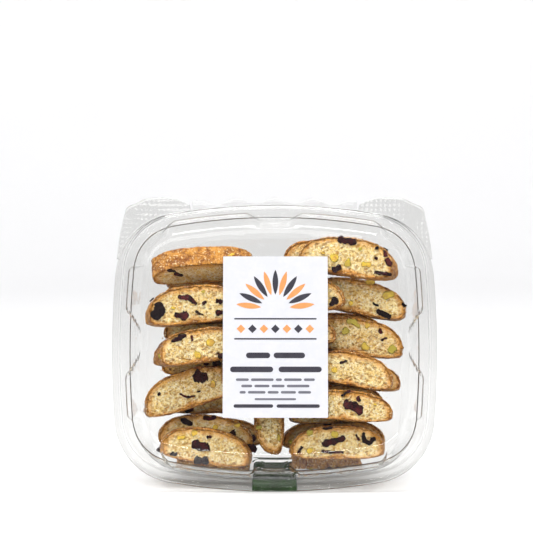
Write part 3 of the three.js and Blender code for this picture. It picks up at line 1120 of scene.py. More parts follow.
# The slices that show, with the fruit and nuts that stand out on them, by row and number.
SHOWN_MORSELS: dict[str, list[Morsel]] = {
    "left_1": [fruit(4.2, (168, 270.5), (175, 271.5)), fruit(4, (175, 273.5), (182, 276))],
    "left_2": [
        fruit(11.5, (160, 305), (155.5, 317)), fruit(5, (179, 297.5), (189, 297.5), (196, 304)),
        fruit(5.2, (203, 303), (205.5, 302)), fruit(6, (217, 301), (222, 301)),
        fruit(5, (217, 313), (222, 312)), fruit(3, (196, 311), (203, 316.5), (212, 316.5)),
        fruit(8, (177, 316), (187, 315.5)), nut(3.2, (172, 307.5), (175, 308)),
        nut(3, (202, 291.5), (204, 291.5)),
    ],
    "left_3": [
        fruit(4.4, (172, 341), (179, 338.5), (185, 335)), fruit(2.6, (192, 336), (192, 341)),
        fruit(6.5, (219, 350), (220, 357)), nut(8, (209, 341), (211, 344)),
        nut(6, (196, 355.5), (199, 354.5)), nut(3.5, (159, 355), (161, 357)),
    ],
    "left_4": [
        fruit(12.5, (195, 376), (205, 376.5)), fruit(2.3, (180, 393.5), (187, 397.5), (195, 396)),
        fruit(3.2, (158, 394), (160, 394)), nut(6, (212, 382), (214, 386)),
        fruit(1.8, (197, 392), (200, 391)),
    ],
    "left_5": [
        fruit(6, (182, 420), (191, 424)), fruit(4.4, (204, 417), (210, 420), (215, 416.5)),
        fruit(8.5, (231, 433), (234, 436)), fruit(8, (251, 437), (254, 439)),
        fruit(8, (246, 446), (255, 449)),
        nut(6, (214, 427), (217, 427)), nut(5, (235, 425.5), (239, 425.5)),
    ],
    "left_6": [
        fruit(9.5, (194, 443), (201, 446.5), (208, 449)), fruit(8.5, (196, 460), (207, 461)),
        fruit(2.6, (207, 437), (211, 437)), fruit(5, (158, 449), (162, 451)),
        fruit(2.6, (170, 454), (177, 454)),
        nut(6, (193, 433), (196, 433)), nut(5, (178, 438), (184, 436.5)),
    ],
    "right_1": [
        fruit(6.4, (339, 239), (347, 241), (355, 242.5)), fruit(3.2, (375.5, 248), (377.5, 248.8)),
        fruit(4.2, (384, 251), (386, 256)), fruit(5, (387, 259), (390, 265)),
        fruit(3, (375, 258), (377, 259)),
        fruit(3.6, (375, 272.5), (383, 273.5), (391, 275)), fruit(5, (333, 270), (340, 267)),
        nut(8, (333, 258), (336, 257)), nut(6.2, (348.5, 259), (347, 265)), nut(5, (362, 264), (370, 264.5)),
        nut(4, (359, 249), (361, 249)), nut(4, (322, 253), (324, 253)),
    ],
    "right_2": [
        nut(7.2, (385, 297), (392, 294)), nut(5.2, (350, 302), (351, 304)),
        nut(4, (366, 282), (374, 282)),
        fruit(5, (377, 310.5), (383, 314), (390, 317)), fruit(3, (373, 303), (378, 306)),
        fruit(4, (403, 303.5), (405, 307)),
    ],
    "right_3": [
        nut(7, (343, 333), (348, 329.5)), nut(5.4, (348, 321), (354, 321.5), (359, 327)),
        nut(5, (366, 325), (368, 326)), nut(5.6, (363, 345), (368, 348.5)), nut(6.5, (390, 351), (394, 347)),
        fruit(3, (380, 329), (381, 333)), fruit(2.6, (381, 340), (387, 338)),
    ],
    "right_4": [fruit(2.4, (340, 363), (347, 361)), nut(6, (333, 370), (336, 370))],
    "right_5": [
        fruit(9.5, (346, 404), (354, 407), (361, 412)), fruit(2.6, (342, 396), (350, 390.5)),
        fruit(4, (358, 397), (360, 401)), nut(2.4, (374, 404), (376, 405)),
    ],
    "right_6": [
        fruit(6.5, (323, 444), (333, 442), (344, 438.5)), fruit(3, (322, 451), (333, 452.5), (343, 452)),
        fruit(4.6, (364, 433.5), (363, 440), (369, 443.5), (375, 438.5)),
        fruit(2.6, (323, 429), (332, 427.5)),
        fruit(3.4, (298, 452), (302, 447)), fruit(3, (356, 435), (359, 440)),
        nut(6, (309, 432.5), (311, 432.5)), nut(7, (334, 433.5), (336, 435)),
        nut(5.6, (290, 441), (294, 443)), nut(6, (309, 450), (311, 451)),
    ],
    "middle_1": [fruit(8, (331, 304), (336, 299.5))],
    "middle_2": [],
    "middle_3": [],
    "middle_4": [nut(5, (257, 428), (261, 427)), nut(4, (279, 435), (279, 440))],
}

# How far the left and the right end of a slice slope in from back to front, in millimetres.
END_SLOPES = {
    "left_2": (3.6, 0.5), "left_3": (6.5, 0.5), "left_4": (2.4, 0.5), "left_6": (1.5, 1.5),
    "right_1": (0.5, 5.2), "right_3": (0.5, 1.5), "right_5": (0.5, 1.5), "right_6": (1.0, 2.2),
}


@dataclass(frozen=True)
class MorselMaker:
    """Makes cut fruit and nuts: a bent ball, as flat on top as the cut face that it lies in.

    The pairs top_bumps, nicks and shear are a noise's size and strength.
    """

    stations: int = 24
    around: int = 18
    stand_out: float = 0.14
    top_bumps: Pair = (0.9, 0.2)
    line_points: int = 12
    greatest_depth: float = 1.5
    depth_share: float = 0.8
    lobes: float = 0.7
    nicks: Pair = (0.7, 0.4)
    waist: float = 0.06
    shear: Pair = (0.9, 0.3)

    def build(self, line: Array, width: float, seed: int) -> Array:
        """Points of one morsel, with z = 0 on the cut face.

        Stations are set by the cosine along a middle line, and the radius is the root of 1 - |cosine|^m,
        where m grows with the slenderness, so that a long morsel keeps its width to near its ends. Noise
        then pushes the sides in and out, shears the morsel along its line and roughens its top.

        Args:
            line: Middle line in the plane of the cut face, in millimetres.
            width: Full width in millimetres.
            seed: Picks the morsel's own unevenness.

        Returns:
            Points in millimetres: one end, the rings between, and the other end.
        """
        half = width / 2
        line = resampled(rounded_line(line.tolist(), 2), self.line_points)
        steps = np.concatenate([[0], np.cumsum(np.linalg.norm(np.diff(line, axis=0), axis=1))])
        cosine = -np.cos(np.linspace(0, math.pi, self.stations))
        cap = min(half, steps[-1])
        travelled = steps[-1] / 2 + (steps[-1] / 2 + half - cap / 2) * cosine
        middle = np.stack([np.interp(travelled, steps, line[:, i]) for i in (0, 1)], axis=-1)
        start, end = line[0] - line[1], line[-1] - line[-2]
        middle += np.clip(-travelled, 0, None)[:, None] * start / np.linalg.norm(start)
        middle += np.clip(travelled - steps[-1], 0, None)[:, None] * end / np.linalg.norm(end)
        tangent = np.gradient(middle, axis=0)
        tangent /= np.linalg.norm(tangent, axis=1, keepdims=True)
        sideways = np.stack([-tangent[:, 1], tangent[:, 0]], axis=-1)
        power = 2 + steps[-1] / half
        radius = half * np.sqrt(np.clip(1 - np.abs(cosine) ** power, 0, None))
        angle = np.linspace(0, 2 * math.pi, self.around, endpoint=False)
        side = radius[:, None] * np.cos(angle)
        depth = min(self.greatest_depth, self.depth_share * half)
        deep = depth * (radius / half)[:, None] * np.sin(angle)
        flat = middle[:, None] + side[..., None] * sideways[:, None]
        points = np.concatenate([flat, deep[..., None]], axis=-1)
        (nick_size, nick), (shear_size, shear), (bump_size, bump) = self.nicks, self.shear, self.top_bumps
        lobes = self.lobes * rough_noise(points, 0.5 * width + 0.4, seed, 2)
        uneven = lobes + nick * rough_noise(points, nick_size, seed + 3, 2)
        swing = (uneven - self.waist) * half * np.sqrt(np.clip(radius / half, 0, 1))[:, None] * np.cos(angle)
        points[..., :2] += swing[..., None] * sideways[:, None]
        slide = shear * half * rough_noise(points, shear_size * width, seed + 5, 2)
        points[..., :2] += slide[..., None] * tangent[:, None]
        top = self.stand_out + bump * rough_noise(points, bump_size, seed + 7, 2)
        points[..., 2] = np.minimum(points[..., 2], top)
        return np.vstack([points[0, :1], points[1:-1].reshape(-1, 3), points[-1, :1]])

    def rim(self) -> Array:
        """Nearness of each point to the morsel's edge: a power of the cosine across or along it."""
        along = np.abs(np.cos(np.linspace(0, math.pi, self.stations)))[1:-1, None]
        across = np.abs(np.cos(np.linspace(0, 2 * math.pi, self.around, endpoint=False)))[None]
        rings = np.maximum(along**8, across**6)
        return np.concatenate([[1.0], rings.ravel(), [1.0]])

    def faces(self) -> Array:
        """Triangles that all morsels share."""
        return ball_faces(self.stations - 2, self.around)


@dataclass
class Fillings:
    """Gathers all fruit and nuts of the pack in one mesh for each kind.

    The pairs are the two ends of a span that random numbers are drawn from.
    """

    view: PhotoView
    maker: MorselMaker = field(default_factory=MorselMaker)
    seed: int = 40
    seed_step: int = 13
    facing: float = 0.6
    inner_share: float = 0.6
    lengths: Pair = (0.4, 4.5)
    widths: Pair = (1.6, 4.6)
    fruit_share: float = 0.58
    label_margin: float = 0.003
    dome_turns: Pair = (0.15, 0.85)
    dome_step: float = 0.05
    dome_sink: float = 0.955
    dome_depths: Pair = (0.25, 0.75)
    dome_widths: Pair = (1.4, 2.6)
    dome_fruit_share: float = 0.7
    points: dict[Filling, list[Array]] = field(default_factory=lambda: {kind: [] for kind in Filling})
    tints: dict[Filling, list[float]] = field(default_factory=lambda: {kind: [] for kind in Filling})

    def __post_init__(self) -> None:
        """Starts the seeded random numbers."""
        self.random = np.random.default_rng(self.seed)

    def add(self, filling: Filling, line: Array, width: float, axes: Array, origin: Array) -> None:
        """Adds one morsel to its kind.

        Args:
            filling: Fruit or nut.
            line: Middle line in the plane of the surface, in millimetres.
            width: Full width in millimetres.
            axes: Two directions in the surface and its normal, in the shared frame.
            origin: Where the line's zero is, in the shared frame.
        """
        number = sum(map(len, self.points.values()))
        local = self.maker.build(line, width, self.seed + self.seed_step * number)
        self.points[filling].append(origin + (local * MM) @ axes)
        self.tints[filling].append(float(self.random.uniform(0, 1)))

    def add_shown(self, morsels: list[Morsel], biscotto: BiscottiSlice, piece: Piece) -> None:
        """Adds the morsels that the photograph shows on one slice, where their pixels meet it.

        Args:
            morsels: The slice's morsels.
            biscotto: The slice.
            piece: Its mesh object.
        """
        place = biscotto.place
        tree = BVHTree.FromObject(piece, bpy.context.evaluated_depsgraph_get())
        start = Vector(self.view.place())
        for morsel in morsels:
            pixel = tuple(np.mean(morsel.line, axis=0))
            hit, normal, _, _ = tree.ray_cast(start, self.view.ray(pixel))
            if hit is None:
                LOG.warning("%s: no surface at pixel %s", piece.name, pixel)
                continue
            front = place.axes[2] @ np.array(normal) > self.facing
            across = place.axes[0]
            out = place.axes[2] if front else np.array(normal) - (np.array(normal) @ across) * across
            out = out / np.linalg.norm(out)
            axes = np.stack([across, np.cross(out, across), out])
            origin = place.to_frame(np.zeros(3)) if front else np.array(hit)
            line = []
            for pixel in morsel.line:
                ray = np.array(self.view.ray(pixel))
                reach = (origin - np.array(start)) @ out / (ray @ out)
                line.append((np.array(start) + reach * ray - origin) @ axes.T / MM)
            scale = self.view.step() * self.view.distance / MM
            self.add(morsel.filling, np.array(line)[:, :2], morsel.width * scale, axes, origin)

    def scatter(self, biscotto: BiscottiSlice, count: int, front: bool, under_label: bool = False) -> None:
        """Adds random morsels to one cut face.

        Args:
            biscotto: The slice.
            count: How many are tried.
            front: True for the front face, False for the back face.
            under_label: True to keep only those that the label hides from the front.
        """
        place = biscotto.place
        low, high = (np.array(corner)[[0, 2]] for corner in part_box("label"))
        for _ in range(count):
            turn = self.random.uniform(0, 2 * math.pi)
            share = math.sqrt(self.random.uniform(0, self.inner_share))
            middle = biscotto.outline(np.array(turn)) * share + np.array([0, biscotto.waist()])
            direction = self.random.uniform(0, math.pi)
            length = self.random.uniform(*self.lengths)
            width = self.random.uniform(*self.widths)
            filling = Filling.FRUIT if self.random.uniform() < self.fruit_share else Filling.NUT
            step = length / 2 * np.array([math.cos(direction), 0.5 * math.sin(direction)])
            at = place.to_frame(np.array([*middle, 0]))[[0, 2]]
            if under_label and not ((low + self.label_margin < at) & (at < high - self.label_margin)).all():
                continue
            line = np.stack([middle - step, middle + step])
            if front:
                self.add(filling, line, width, place.axes, place.origin)
            else:
                axes = place.axes * np.array([[-1], [1], [-1]])
                self.add(filling, line * [-1, 1], width, axes, place.to_frame(np.array([0, 0, -place.thick])))

    def scatter_on_dome(self, biscotto: BiscottiSlice, count: int) -> None:
        """Adds random morsels that break through the domed crust.

        Args:
            biscotto: The slice.
            count: How many are added.
        """
        place = biscotto.place
        for _ in range(count):
            turn = self.random.uniform(*self.dome_turns) * math.pi
            turns = np.array([turn - self.dome_step, turn, turn + self.dome_step])
            edge = biscotto.outline(turns) + [0, biscotto.waist()]
            along = edge[0] - edge[2]
            across = np.append(along / np.linalg.norm(along), 0) @ place.axes
            depth = np.array([0.0, 0.0, 1.0]) @ place.axes
            out = np.cross(across, -depth)
            if out @ (np.array([0.0, 1.0, 0.0]) @ place.axes) < 0:
                out = -out
            axes = np.stack([across, np.cross(out, across), out])
            at = np.append(edge[1] * self.dome_sink, -self.random.uniform(*self.dome_depths) * place.thick)
            line = np.array([[-0.8, -0.3], [self.random.uniform(0.2, 1.6), self.random.uniform(-0.4, 0.6)]])
            filling = Filling.FRUIT if self.random.uniform() < self.dome_fruit_share else Filling.NUT
            self.add(filling, line, self.random.uniform(*self.dome_widths), axes, place.to_frame(at))

    def build(self, filling: Filling) -> Piece:
        """Joins all morsels of one kind.

        Args:
            filling: Fruit or nut.

        Returns:
            The mesh object, with the attributes tint, one value for each morsel, and rim.
        """
        shapes = np.stack(self.points[filling])
        each = shapes.shape[1]
        faces = self.maker.faces()[None] + (np.arange(len(shapes)) * each)[:, None, None]
        piece = add_mesh(filling.value, shapes.reshape(-1, 3), faces.reshape(-1, 3).tolist())
        set_attribute(piece, "tint", np.repeat(self.tints[filling], each))
        set_attribute(piece, "rim", np.tile(self.maker.rim(), len(shapes)))
        return piece


@dataclass(frozen=True)
class BiscottiStack:
    """All slices of the pack, with what is baked into them."""

    plane: PackPlane
    view: PhotoView
    shown_look: SliceLook = SliceLook((116, 44, 20), bubbles=90, front_morsels=9, back_morsels=3)
    back_look: SliceLook = SliceLook((84, 32, 12), bubbles=80, front_morsels=3, back_morsels=8)
    hidden_look: SliceLook = SliceLook((64, 24, 10), bubbles=45, front_morsels=3, back_morsels=3)
    first_back_number: int = 11
    dome_morsels: int = 2
    first_seed: int = 100
    seed_step: int = 31

    def look_of(self, name: str) -> SliceLook:
        """Chooses the fineness and the ends of a slice.

        Args:
            name: Row and number of the slice, such as left_2.

        Returns:
            Its look.
        """
        if name in SHOWN_MORSELS:
            return replace(self.shown_look, slopes=END_SLOPES.get(name, self.shown_look.slopes))
        number = int(name.split("_")[1])
        return self.back_look if number >= self.first_back_number else self.hidden_look

    def build(self, dough: bpy.types.Material) -> Fillings:
        """Makes the slices and collects their fillings.

        Args:
            dough: Material of the slices.

        Returns:
            The fillings, ready to be joined.
        """
        fillings = Fillings(self.view)
        nodes = sorted(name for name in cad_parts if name.startswith("biscotti_"))
        for number, node in enumerate(nodes):
            name = node.removeprefix("biscotti_")
            look = self.look_of(name)
            place = SliceFrame.from_node(node, self.plane)
            biscotto = BiscottiSlice(place, look, self.first_seed + self.seed_step * number)
            piece = biscotto.build()
            finish_piece(piece, dough, Slot.BAKED, node)
            shown = name in SHOWN_MORSELS
            if shown:
                fillings.add_shown(SHOWN_MORSELS[name], biscotto, piece)
            fillings.scatter(biscotto, look.front_morsels, front=True, under_label=shown)
            fillings.scatter(biscotto, look.back_morsels, front=False)
            fillings.scatter_on_dome(biscotto, self.dome_morsels)
        return fillings


@dataclass(frozen=True)
class PackOutline:
    """Rounded outline of the pack: a shallow side arc, a corner arc and a shallow crown arc in each quarter.

    All lengths are in millimetres. Insets are distances in from the flange's edge.
    """

    half_width: float = 92.0
    half_height: float = 82.5
    height_taper: float = 1.04
    lower_lip: float = 1.0
    upper_lip: float = -4.2
    lip_width: float = 4.0
    crown_radius: float = 343.5
    side_radius: float = 514.5
    corner_radius: float = 37.5
    steps: tuple[int, int, int] = (20, 36, 44)

    def columns(self) -> tuple[Array, Array, Array, Array]:
        """Which arc, how far along it, and which quarter, for each point once round the pack."""
        arc = np.repeat([0, 1, 2], self.steps)
        share = np.concatenate([np.arange(count) / count for count in self.steps])
        arc, share = np.append(arc, 2), np.append(share, 1.0)
        back = slice(-2, 0, -1)
        arcs = np.concatenate([arc, arc[back], arc, arc[back]])
        shares = np.concatenate([share, share[back], share, share[back]])
        whole, part = len(arc), len(arc) - 2
        right = np.repeat([1, -1, -1, 1], [whole, part, whole, part])
        upper = np.repeat([1, 1, -1, -1], [whole, part, whole, part])
        return arcs, shares, right, upper

    def flange_half_height(self, inset: Array, lip: float) -> Array:
        """Half height of the outline at an inset, with the lip that fades out over the lip width."""
        fading = lip * np.clip(1 - inset / self.lip_width, 0, None)
        return self.half_height - self.height_taper * inset + fading

    def ring(self, side: Array, z: Array, foot: Array | None = None, top: Array | None = None) -> Array:
        """Points once round the pack.

        Each quarter has three tangent arcs. The corner arc's middle is where two circles meet: one about
        the crown arc's middle and one about the side arc's middle, each with the difference of the radii.

        Args:
            side: Inset, for each row or for each row and column.
            z: Height out of the flange plane, in the same form.
            foot: Half height of the lower half, where it doesn't follow from the inset.
            top: Half height of the upper half, where it doesn't follow from the inset.

        Returns:
            Points by row and column, in the pack's plane.
        """
        arcs, shares, right, upper = self.columns()
        top = self.flange_half_height(side, self.upper_lip) if top is None else top
        foot = self.flange_half_height(side, self.lower_lip) if foot is None else foot
        half = np.where(upper > 0, top, foot)
        lower_inset = self.half_height + self.lower_lip - foot
        inset = np.where(upper > 0, side, (side + np.maximum(lower_inset, side * 0.5)) / 2)
        crown, flank, corner = self.crown_radius - inset, self.side_radius - inset, self.corner_radius - inset
        crown_y, flank_x = half - crown, self.half_width - side - flank
        span = np.hypot(flank_x, crown_y)
        along = ((crown - corner) ** 2 - (flank - corner) ** 2 + span**2) / (2 * span)
        across = np.sqrt((crown - corner) ** 2 - along**2)
        ux, uy = flank_x / span, -crown_y / span
        first = ux * along - uy * across, crown_y + uy * along + ux * across
        second = ux * along + uy * across, crown_y + uy * along - ux * across
        outer = first[0] + first[1] > 0
        cx, cy = np.where(outer, first[0], second[0]), np.where(outer, first[1], second[1])
        flank_end = np.arctan2(cy, cx - flank_x)
        crown_start = np.arctan2(cy - crown_y, cx)
        angle = np.select(
            [arcs == 0, arcs == 1],
            [shares * flank_end, flank_end + (crown_start - flank_end) * shares],
            crown_start + (math.pi / 2 - crown_start) * shares,
        )
        x = np.select([arcs == 0, arcs == 1], [flank_x + flank * np.cos(angle), cx + corner * np.cos(angle)],
                      crown * np.cos(angle))
        y = np.select([arcs == 0, arcs == 1], [flank * np.sin(angle), cy + corner * np.sin(angle)],
                      crown_y + crown * np.sin(angle))
        return np.stack(np.broadcast_arrays(right * x, upper * y, z), axis=-1)


@dataclass(frozen=True)
class ClearSheet:
    """What all clear parts share: the sheet's thickness and the unevenness of formed plastic."""

    outline: PackOutline
    plane: PackPlane
    thickness: float = 0.42
    cad_wall: float = 0.8
    middle_shares: tuple[float, ...] = (0.94, 0.82, 0.68, 0.54, 0.4, 0.26, 0.13)

    def filled(self, rows: Array) -> tuple[Array, Faces]:
        """Sheet from rows of rings, with its first ring filled by smaller and smaller copies of itself.

        Args:
            rows: Rings from the filled panel out to the flange's edge.

        Returns:
            Points and faces.
        """
        centre = rows[0].mean(axis=0)
        panel = [centre + (rows[0] - centre) * share for share in reversed(self.middle_shares)]
        rings = np.concatenate([np.stack(panel), rows])
        points = np.vstack([centre[None], rings.reshape(-1, 3)])
        return points, disc_faces(*rings.shape[:2])

    def wavy(self, points: Array, size: float, amount: float, seed: int) -> Array:
        """Points moved along z by a slow noise, as a formed sheet is never quite flat."""
        moved = points.copy()
        moved[..., 2] += amount * rough_noise(points, size, seed, 2)
        return moved


@dataclass(frozen=True)
class PullTab:
    """Tab outside an upper corner, one layer on the lid and one on the base."""

    corners: tuple[Pair, ...] = (
        (89.5, 48.0), (88.2, 60.0), (86.0, 70.5), (84.5, 77.6), (79.0, 79.2), (73.5, 82.6), (66.0, 83.0),
        (57.5, 83.0), (52.5, 80.9), (48.3, 78.9),
    )
    rows: int = 12
    columns: int = 90
    emboss: float = 0.08
    emboss_period: float = 5.2
    emboss_reach: tuple[Pair, ...] = ((0.05, 0.3), (0.75, 0.97))
    quarter_from: float = 20.0
    least_reach: float = 0.25
    joint_gap: float = 0.06
    fine_points: tuple[int, int] = (400, 2000)

    def build(self, outline: PackOutline, inset: float, z: float) -> list[tuple[Array, Faces]]:
        """Sheet between the flange's edge and the tab's outline, straight across from each to the other.

        Its surface carries an embossed diamond wave: the product of two sines across each other.

        Args:
            outline: Outline of the pack.
            inset: Inset of the flange's edge.
            z: Height of the sheet's middle.

        Returns:
            Points and faces of the right and of the left tab.
        """
        ring = outline.ring(np.array([[inset]]), np.array([[z]]))[0]
        flange = ring[(ring[:, 0] > self.quarter_from) & (ring[:, 1] > self.quarter_from)]
        edge = resampled(rounded_line(list(self.corners), 3), self.fine_points[0])
        gap = np.linalg.norm(edge[:, None] - flange[None, :, :2], axis=2)
        nearest = flange[gap.argmin(axis=1), :2]
        corner = np.array([outline.half_width, outline.half_height]) - outline.corner_radius
        reach = np.linalg.norm(edge - corner, axis=1) - np.linalg.norm(nearest - corner, axis=1)
        edge = edge[reach > self.least_reach]
        dense = resampled(flange[:, :2], self.fine_points[1])
        nearest = dense[np.linalg.norm(edge[:, None] - dense[None], axis=2).argmin(axis=1)]
        outer, inner = resampled(edge, self.columns), resampled(nearest, self.columns)
        step = outer - inner
        inner = inner + self.joint_gap * step / np.linalg.norm(step, axis=1, keepdims=True)
        share = np.linspace(0, 1, self.rows)[:, None, None]
        flat = inner[None] * (1 - share) + outer[None] * share
        phase = 2 * math.pi / self.emboss_period
        wave = np.sin(phase * (flat[..., 0] + flat[..., 1])) * np.sin(phase * (flat[..., 0] - flat[..., 1]))
        middle = plateau(*self.emboss_reach, share[..., 0])
        points = np.concatenate([flat, (z + self.emboss * wave * middle)[..., None]], axis=-1).reshape(-1, 3)
        faces = sheet_faces(self.rows, self.columns)
        return [(points, faces[:, ::-1].tolist()), (points * [-1, 1, 1], faces.tolist())]


@dataclass(frozen=True)
class Lid(ClearSheet):
    """Clear lid: flange, round bead, gutter and a raised face with pads on its sloped wall.

    Each point of the section is an inset and a height. The side pads start at a place that moves with the
    height, and the shares of notch_heights and corner_shares are where a pad rises and falls.
    """

    section: tuple[Pair, ...] = (
        (22.0, 12.0), (19.6, 12.0), (17.9, 11.75), (17.0, 10.9), (16.1, 9.57), (15.2, 8.23), (14.3, 6.9),
        (13.4, 5.57), (12.5, 4.23), (11.6, 2.9), (10.4, 2.2),
        (9.0, 2.6), (7.0, 3.9), (5.4, 4.0), (4.0, 2.9), (3.2, 1.3), (2.6, 0.95), (1.6, 0.95), (0.4, 0.95),
    )
    pad_weight: tuple[tuple[float, ...], tuple[float, ...]] = (
        (7.4, 8.6, 9.6, 10.6, 11.8, 16.6, 17.3, 17.9), (0.0, 0.1, 0.45, 0.9, 1.0, 0.42, 0.3, 0.0)
    )
    waves: tuple[float, float, int] = (26.0, 0.07, 5)
    tab_drop: float = 0.1
    wall_foot: float = 2.4
    wall_top: float = 10.6
    side_pad: float = 3.1
    side_pad_reach: Triple = (17.0, 9.0, 42.5)
    side_pad_soft: Pair = (0.6, 1.0)
    side_from: float = 60.0
    end_from: float = 50.0
    bar: float = 2.8
    bar_reach: Pair = (10.0, 62.0)
    bar_bow: float = 3.0
    bar_soft: Pair = (3.0, 0.4)
    notch_tab: float = 2.4
    notch_half_width: float = 6.0
    notch_soft: float = 0.5
    notch_heights: tuple[Pair, ...] = ((0.08, 0.16), (0.76, 0.84))
    corner_pad: float = 0.8
    corner_shares: tuple[Pair, ...] = ((0.2, 0.26), (0.7, 0.76))

    def pads(self, ring: Array, height: Array) -> Array:
        """How far the sloped wall stands out, in millimetres of inset.

        A pad is a plateau between two soft ends, and the ends of the bars are half circles up the wall.

        Args:
            ring: Points of the plain lid by row and column.
            height: Share of the way up the wall, for each row.

        Returns:
            The inset that each point gives up at the wall's foot.
        """
        x, y = np.abs(ring[..., 0]), np.abs(ring[..., 1])
        near, slant, far = self.side_pad_reach
        start = near - slant * height
        first_soft, last_soft = self.side_pad_soft
        side = plateau((start - first_soft, start + first_soft), (far - last_soft, far + last_soft), y)
        bow = self.bar_bow * (1 - np.sqrt(np.clip(1 - (2 * height - 1) ** 2, 0, 1)))
        first, last = self.bar_reach[0] + bow, self.bar_reach[1] - bow
        soft = np.where(ring[..., 1] > 0, *self.bar_soft)
        bars = plateau((first - soft, first + soft), (last - soft, last + soft), x) * (y > self.end_from)
        half, soft = self.notch_half_width, self.notch_soft
        tab = (1 - smoothstep(half - soft, half + soft, x)) * plateau(*self.notch_heights, height)
        tab = tab * (ring[..., 1] < -self.end_from)
        arcs, shares, _, _ = self.outline.columns()
        corner = (arcs == 1) * plateau(*self.corner_shares, shares)
        side = self.side_pad * side * (x > self.side_from)
        return side + self.bar * bars + self.notch_tab * tab + self.corner_pad * corner

    def build(self) -> Piece:
        """The section with its corners cut round is carried round the outline; pads widen the wall."""
        line = shifted_line(rounded_line(list(self.section), 2), self.thickness / 2)
        inset, z = line[:, :1], line[:, 1:]
        plain = self.outline.ring(inset, z)
        height = np.clip((z - self.wall_foot) / (self.wall_top - self.wall_foot), 0, 1)
        weight = np.interp(inset, *self.pad_weight)
        rows = self.outline.ring(inset - weight * self.pads(plain, height), z)
        tabs = PullTab().build(self.outline, self.section[-1][0], line[-1, 1] - self.tab_drop)
        points, faces = joined([self.filled(self.wavy(rows, *self.waves)), *tabs])
        piece = add_mesh("clear_lid", self.plane.to_frame(points), faces)
        solidify(piece, self.thickness)
        return piece


@dataclass(frozen=True)
class Base(ClearSheet):
    """Clear tub with a filleted back, a flat foot, a snap bead and its flange."""

    depth: float = 41.2
    fillet: float = 3.2
    side_at_rim: float = 10.9
    side_at_back: float = 18.2
    rim_start: float = -1.2
    flange_spot: float = 0.3
    gap: float = 0.3
    seal_thickness: float = 0.2
    foot_bulge: tuple[Pair, ...] = ((-9.0, -0.2), (-4.5, 0.6))
    bead: tuple[Pair, ...] = (
        (10.6, -0.5), (9.4, 0.3), (7.2, 1.75), (5.8, 1.9), (4.9, 1.1), (4.3, -0.35), (3.4, -0.62),
        (1.6, -0.62), (0.3, -0.62),
    )
    waves: tuple[float, float, int] = (30.0, 0.07, 9)
    tab_inset: float = 1.0
    floor_gap: float = 0.3
    wall_rows: int = 22
    fillet_rows: int = 10

    def foot_inset(self) -> float:
        """Inset of the foot that lets the sealed foot and the flange's edge share one floor."""
        reach = self.depth - self.fillet - self.gap / 2 - self.cad_wall
        lean = self.plane.lean
        return reach * math.tan(lean) + self.flange_spot / math.cos(lean) + self.gap + self.seal_thickness

    def build(self) -> Piece:
        """The wall slopes evenly from the rim to the back; a quarter circle joins it to the back panel."""
        offset = self.cad_wall - self.thickness / 2
        radius = self.fillet + offset
        angle = np.linspace(math.pi / 2, 0, self.fillet_rows)
        turn_z = -self.depth + self.fillet - radius * np.sin(angle)
        turn_reach = radius * (1 - np.cos(angle))
        wall_z = np.linspace(-self.depth + self.fillet, self.rim_start, self.wall_rows)[1:]
        z = np.concatenate([turn_z, wall_z])
        reach = np.concatenate([turn_reach, np.zeros(len(wall_z))])
        share = (z - self.rim_start) / (-self.depth - self.rim_start)
        side = self.side_at_rim + (self.side_at_back - self.side_at_rim) * share - offset + reach
        foot = self.foot_inset() + self.cad_wall - offset
        knots = [-self.depth + self.fillet, *(at for at, _ in self.foot_bulge), self.rim_start]
        feet = [foot, *(foot + more for _, more in self.foot_bulge), self.side_at_rim + 1 - offset]
        lower = np.interp(z, knots, feet) + reach
        edge = self.outline.half_height + self.outline.lower_lip
        tub = self.outline.ring(
            side[:, None], z[:, None], foot=edge - lower[:, None],
            top=self.outline.half_height - self.outline.height_taper * side[:, None],
        )
        bead = rounded_line(list(self.bead), 2)
        rim = self.outline.ring(bead[:, :1], bead[:, 1:])
        rows = self.wavy(np.concatenate([tub, rim]), *self.waves)
        low = self.plane.floor_y(rows[..., 2], self.floor_gap)
        rows[..., 1] = np.maximum(rows[..., 1], low)
        tabs = PullTab().build(self.outline, self.tab_inset, self.bead[-1][1])
        body, faces = self.filled(rows)
        points, faces = joined([(body, [face[::-1] for face in faces]), *tabs])
        piece = add_mesh("clear_base", self.plane.to_frame(points), faces)
        solidify(piece, self.thickness)
        return piece


@dataclass(frozen=True)
class TearStrip:
    """Tear-away strip of the hinge, between the pull tabs, with a wavy upper edge."""

    plane: PackPlane
    half_length: float = 46.8
    foot: float = 78.75
    middle: float = 81.1
    wave: float = 1.6
    period: float = 22.0
    sag: float = 687.0
    ridge: float = 0.14
    thickness: float = 0.42
    columns: int = 220
    rows: int = 8

    def build(self) -> Piece:
        """Lower edge: a parabola. Upper edge: a flatter one plus a cosine. A small ridge runs between."""
        x = np.linspace(-self.half_length, self.half_length, self.columns)[None]
        share = np.linspace(0, 1, self.rows)[:, None]
        low = self.foot - x**2 / self.sag
        wave = np.cos(2 * math.pi * x / self.period)
        high = self.middle + self.wave * wave - x**2 / (2 * self.sag)
        y = low + (high - low) * share
        z = self.ridge * np.sin(math.pi * share) * wave
        points = np.stack(np.broadcast_arrays(x, y, z), axis=-1).reshape(-1, 3)
        faces = sheet_faces(self.rows, self.columns)[:, ::-1]
        piece = add_mesh("clear_tear_strip", self.plane.to_frame(points), faces.tolist())
        solidify(piece, self.thickness)
        return piece


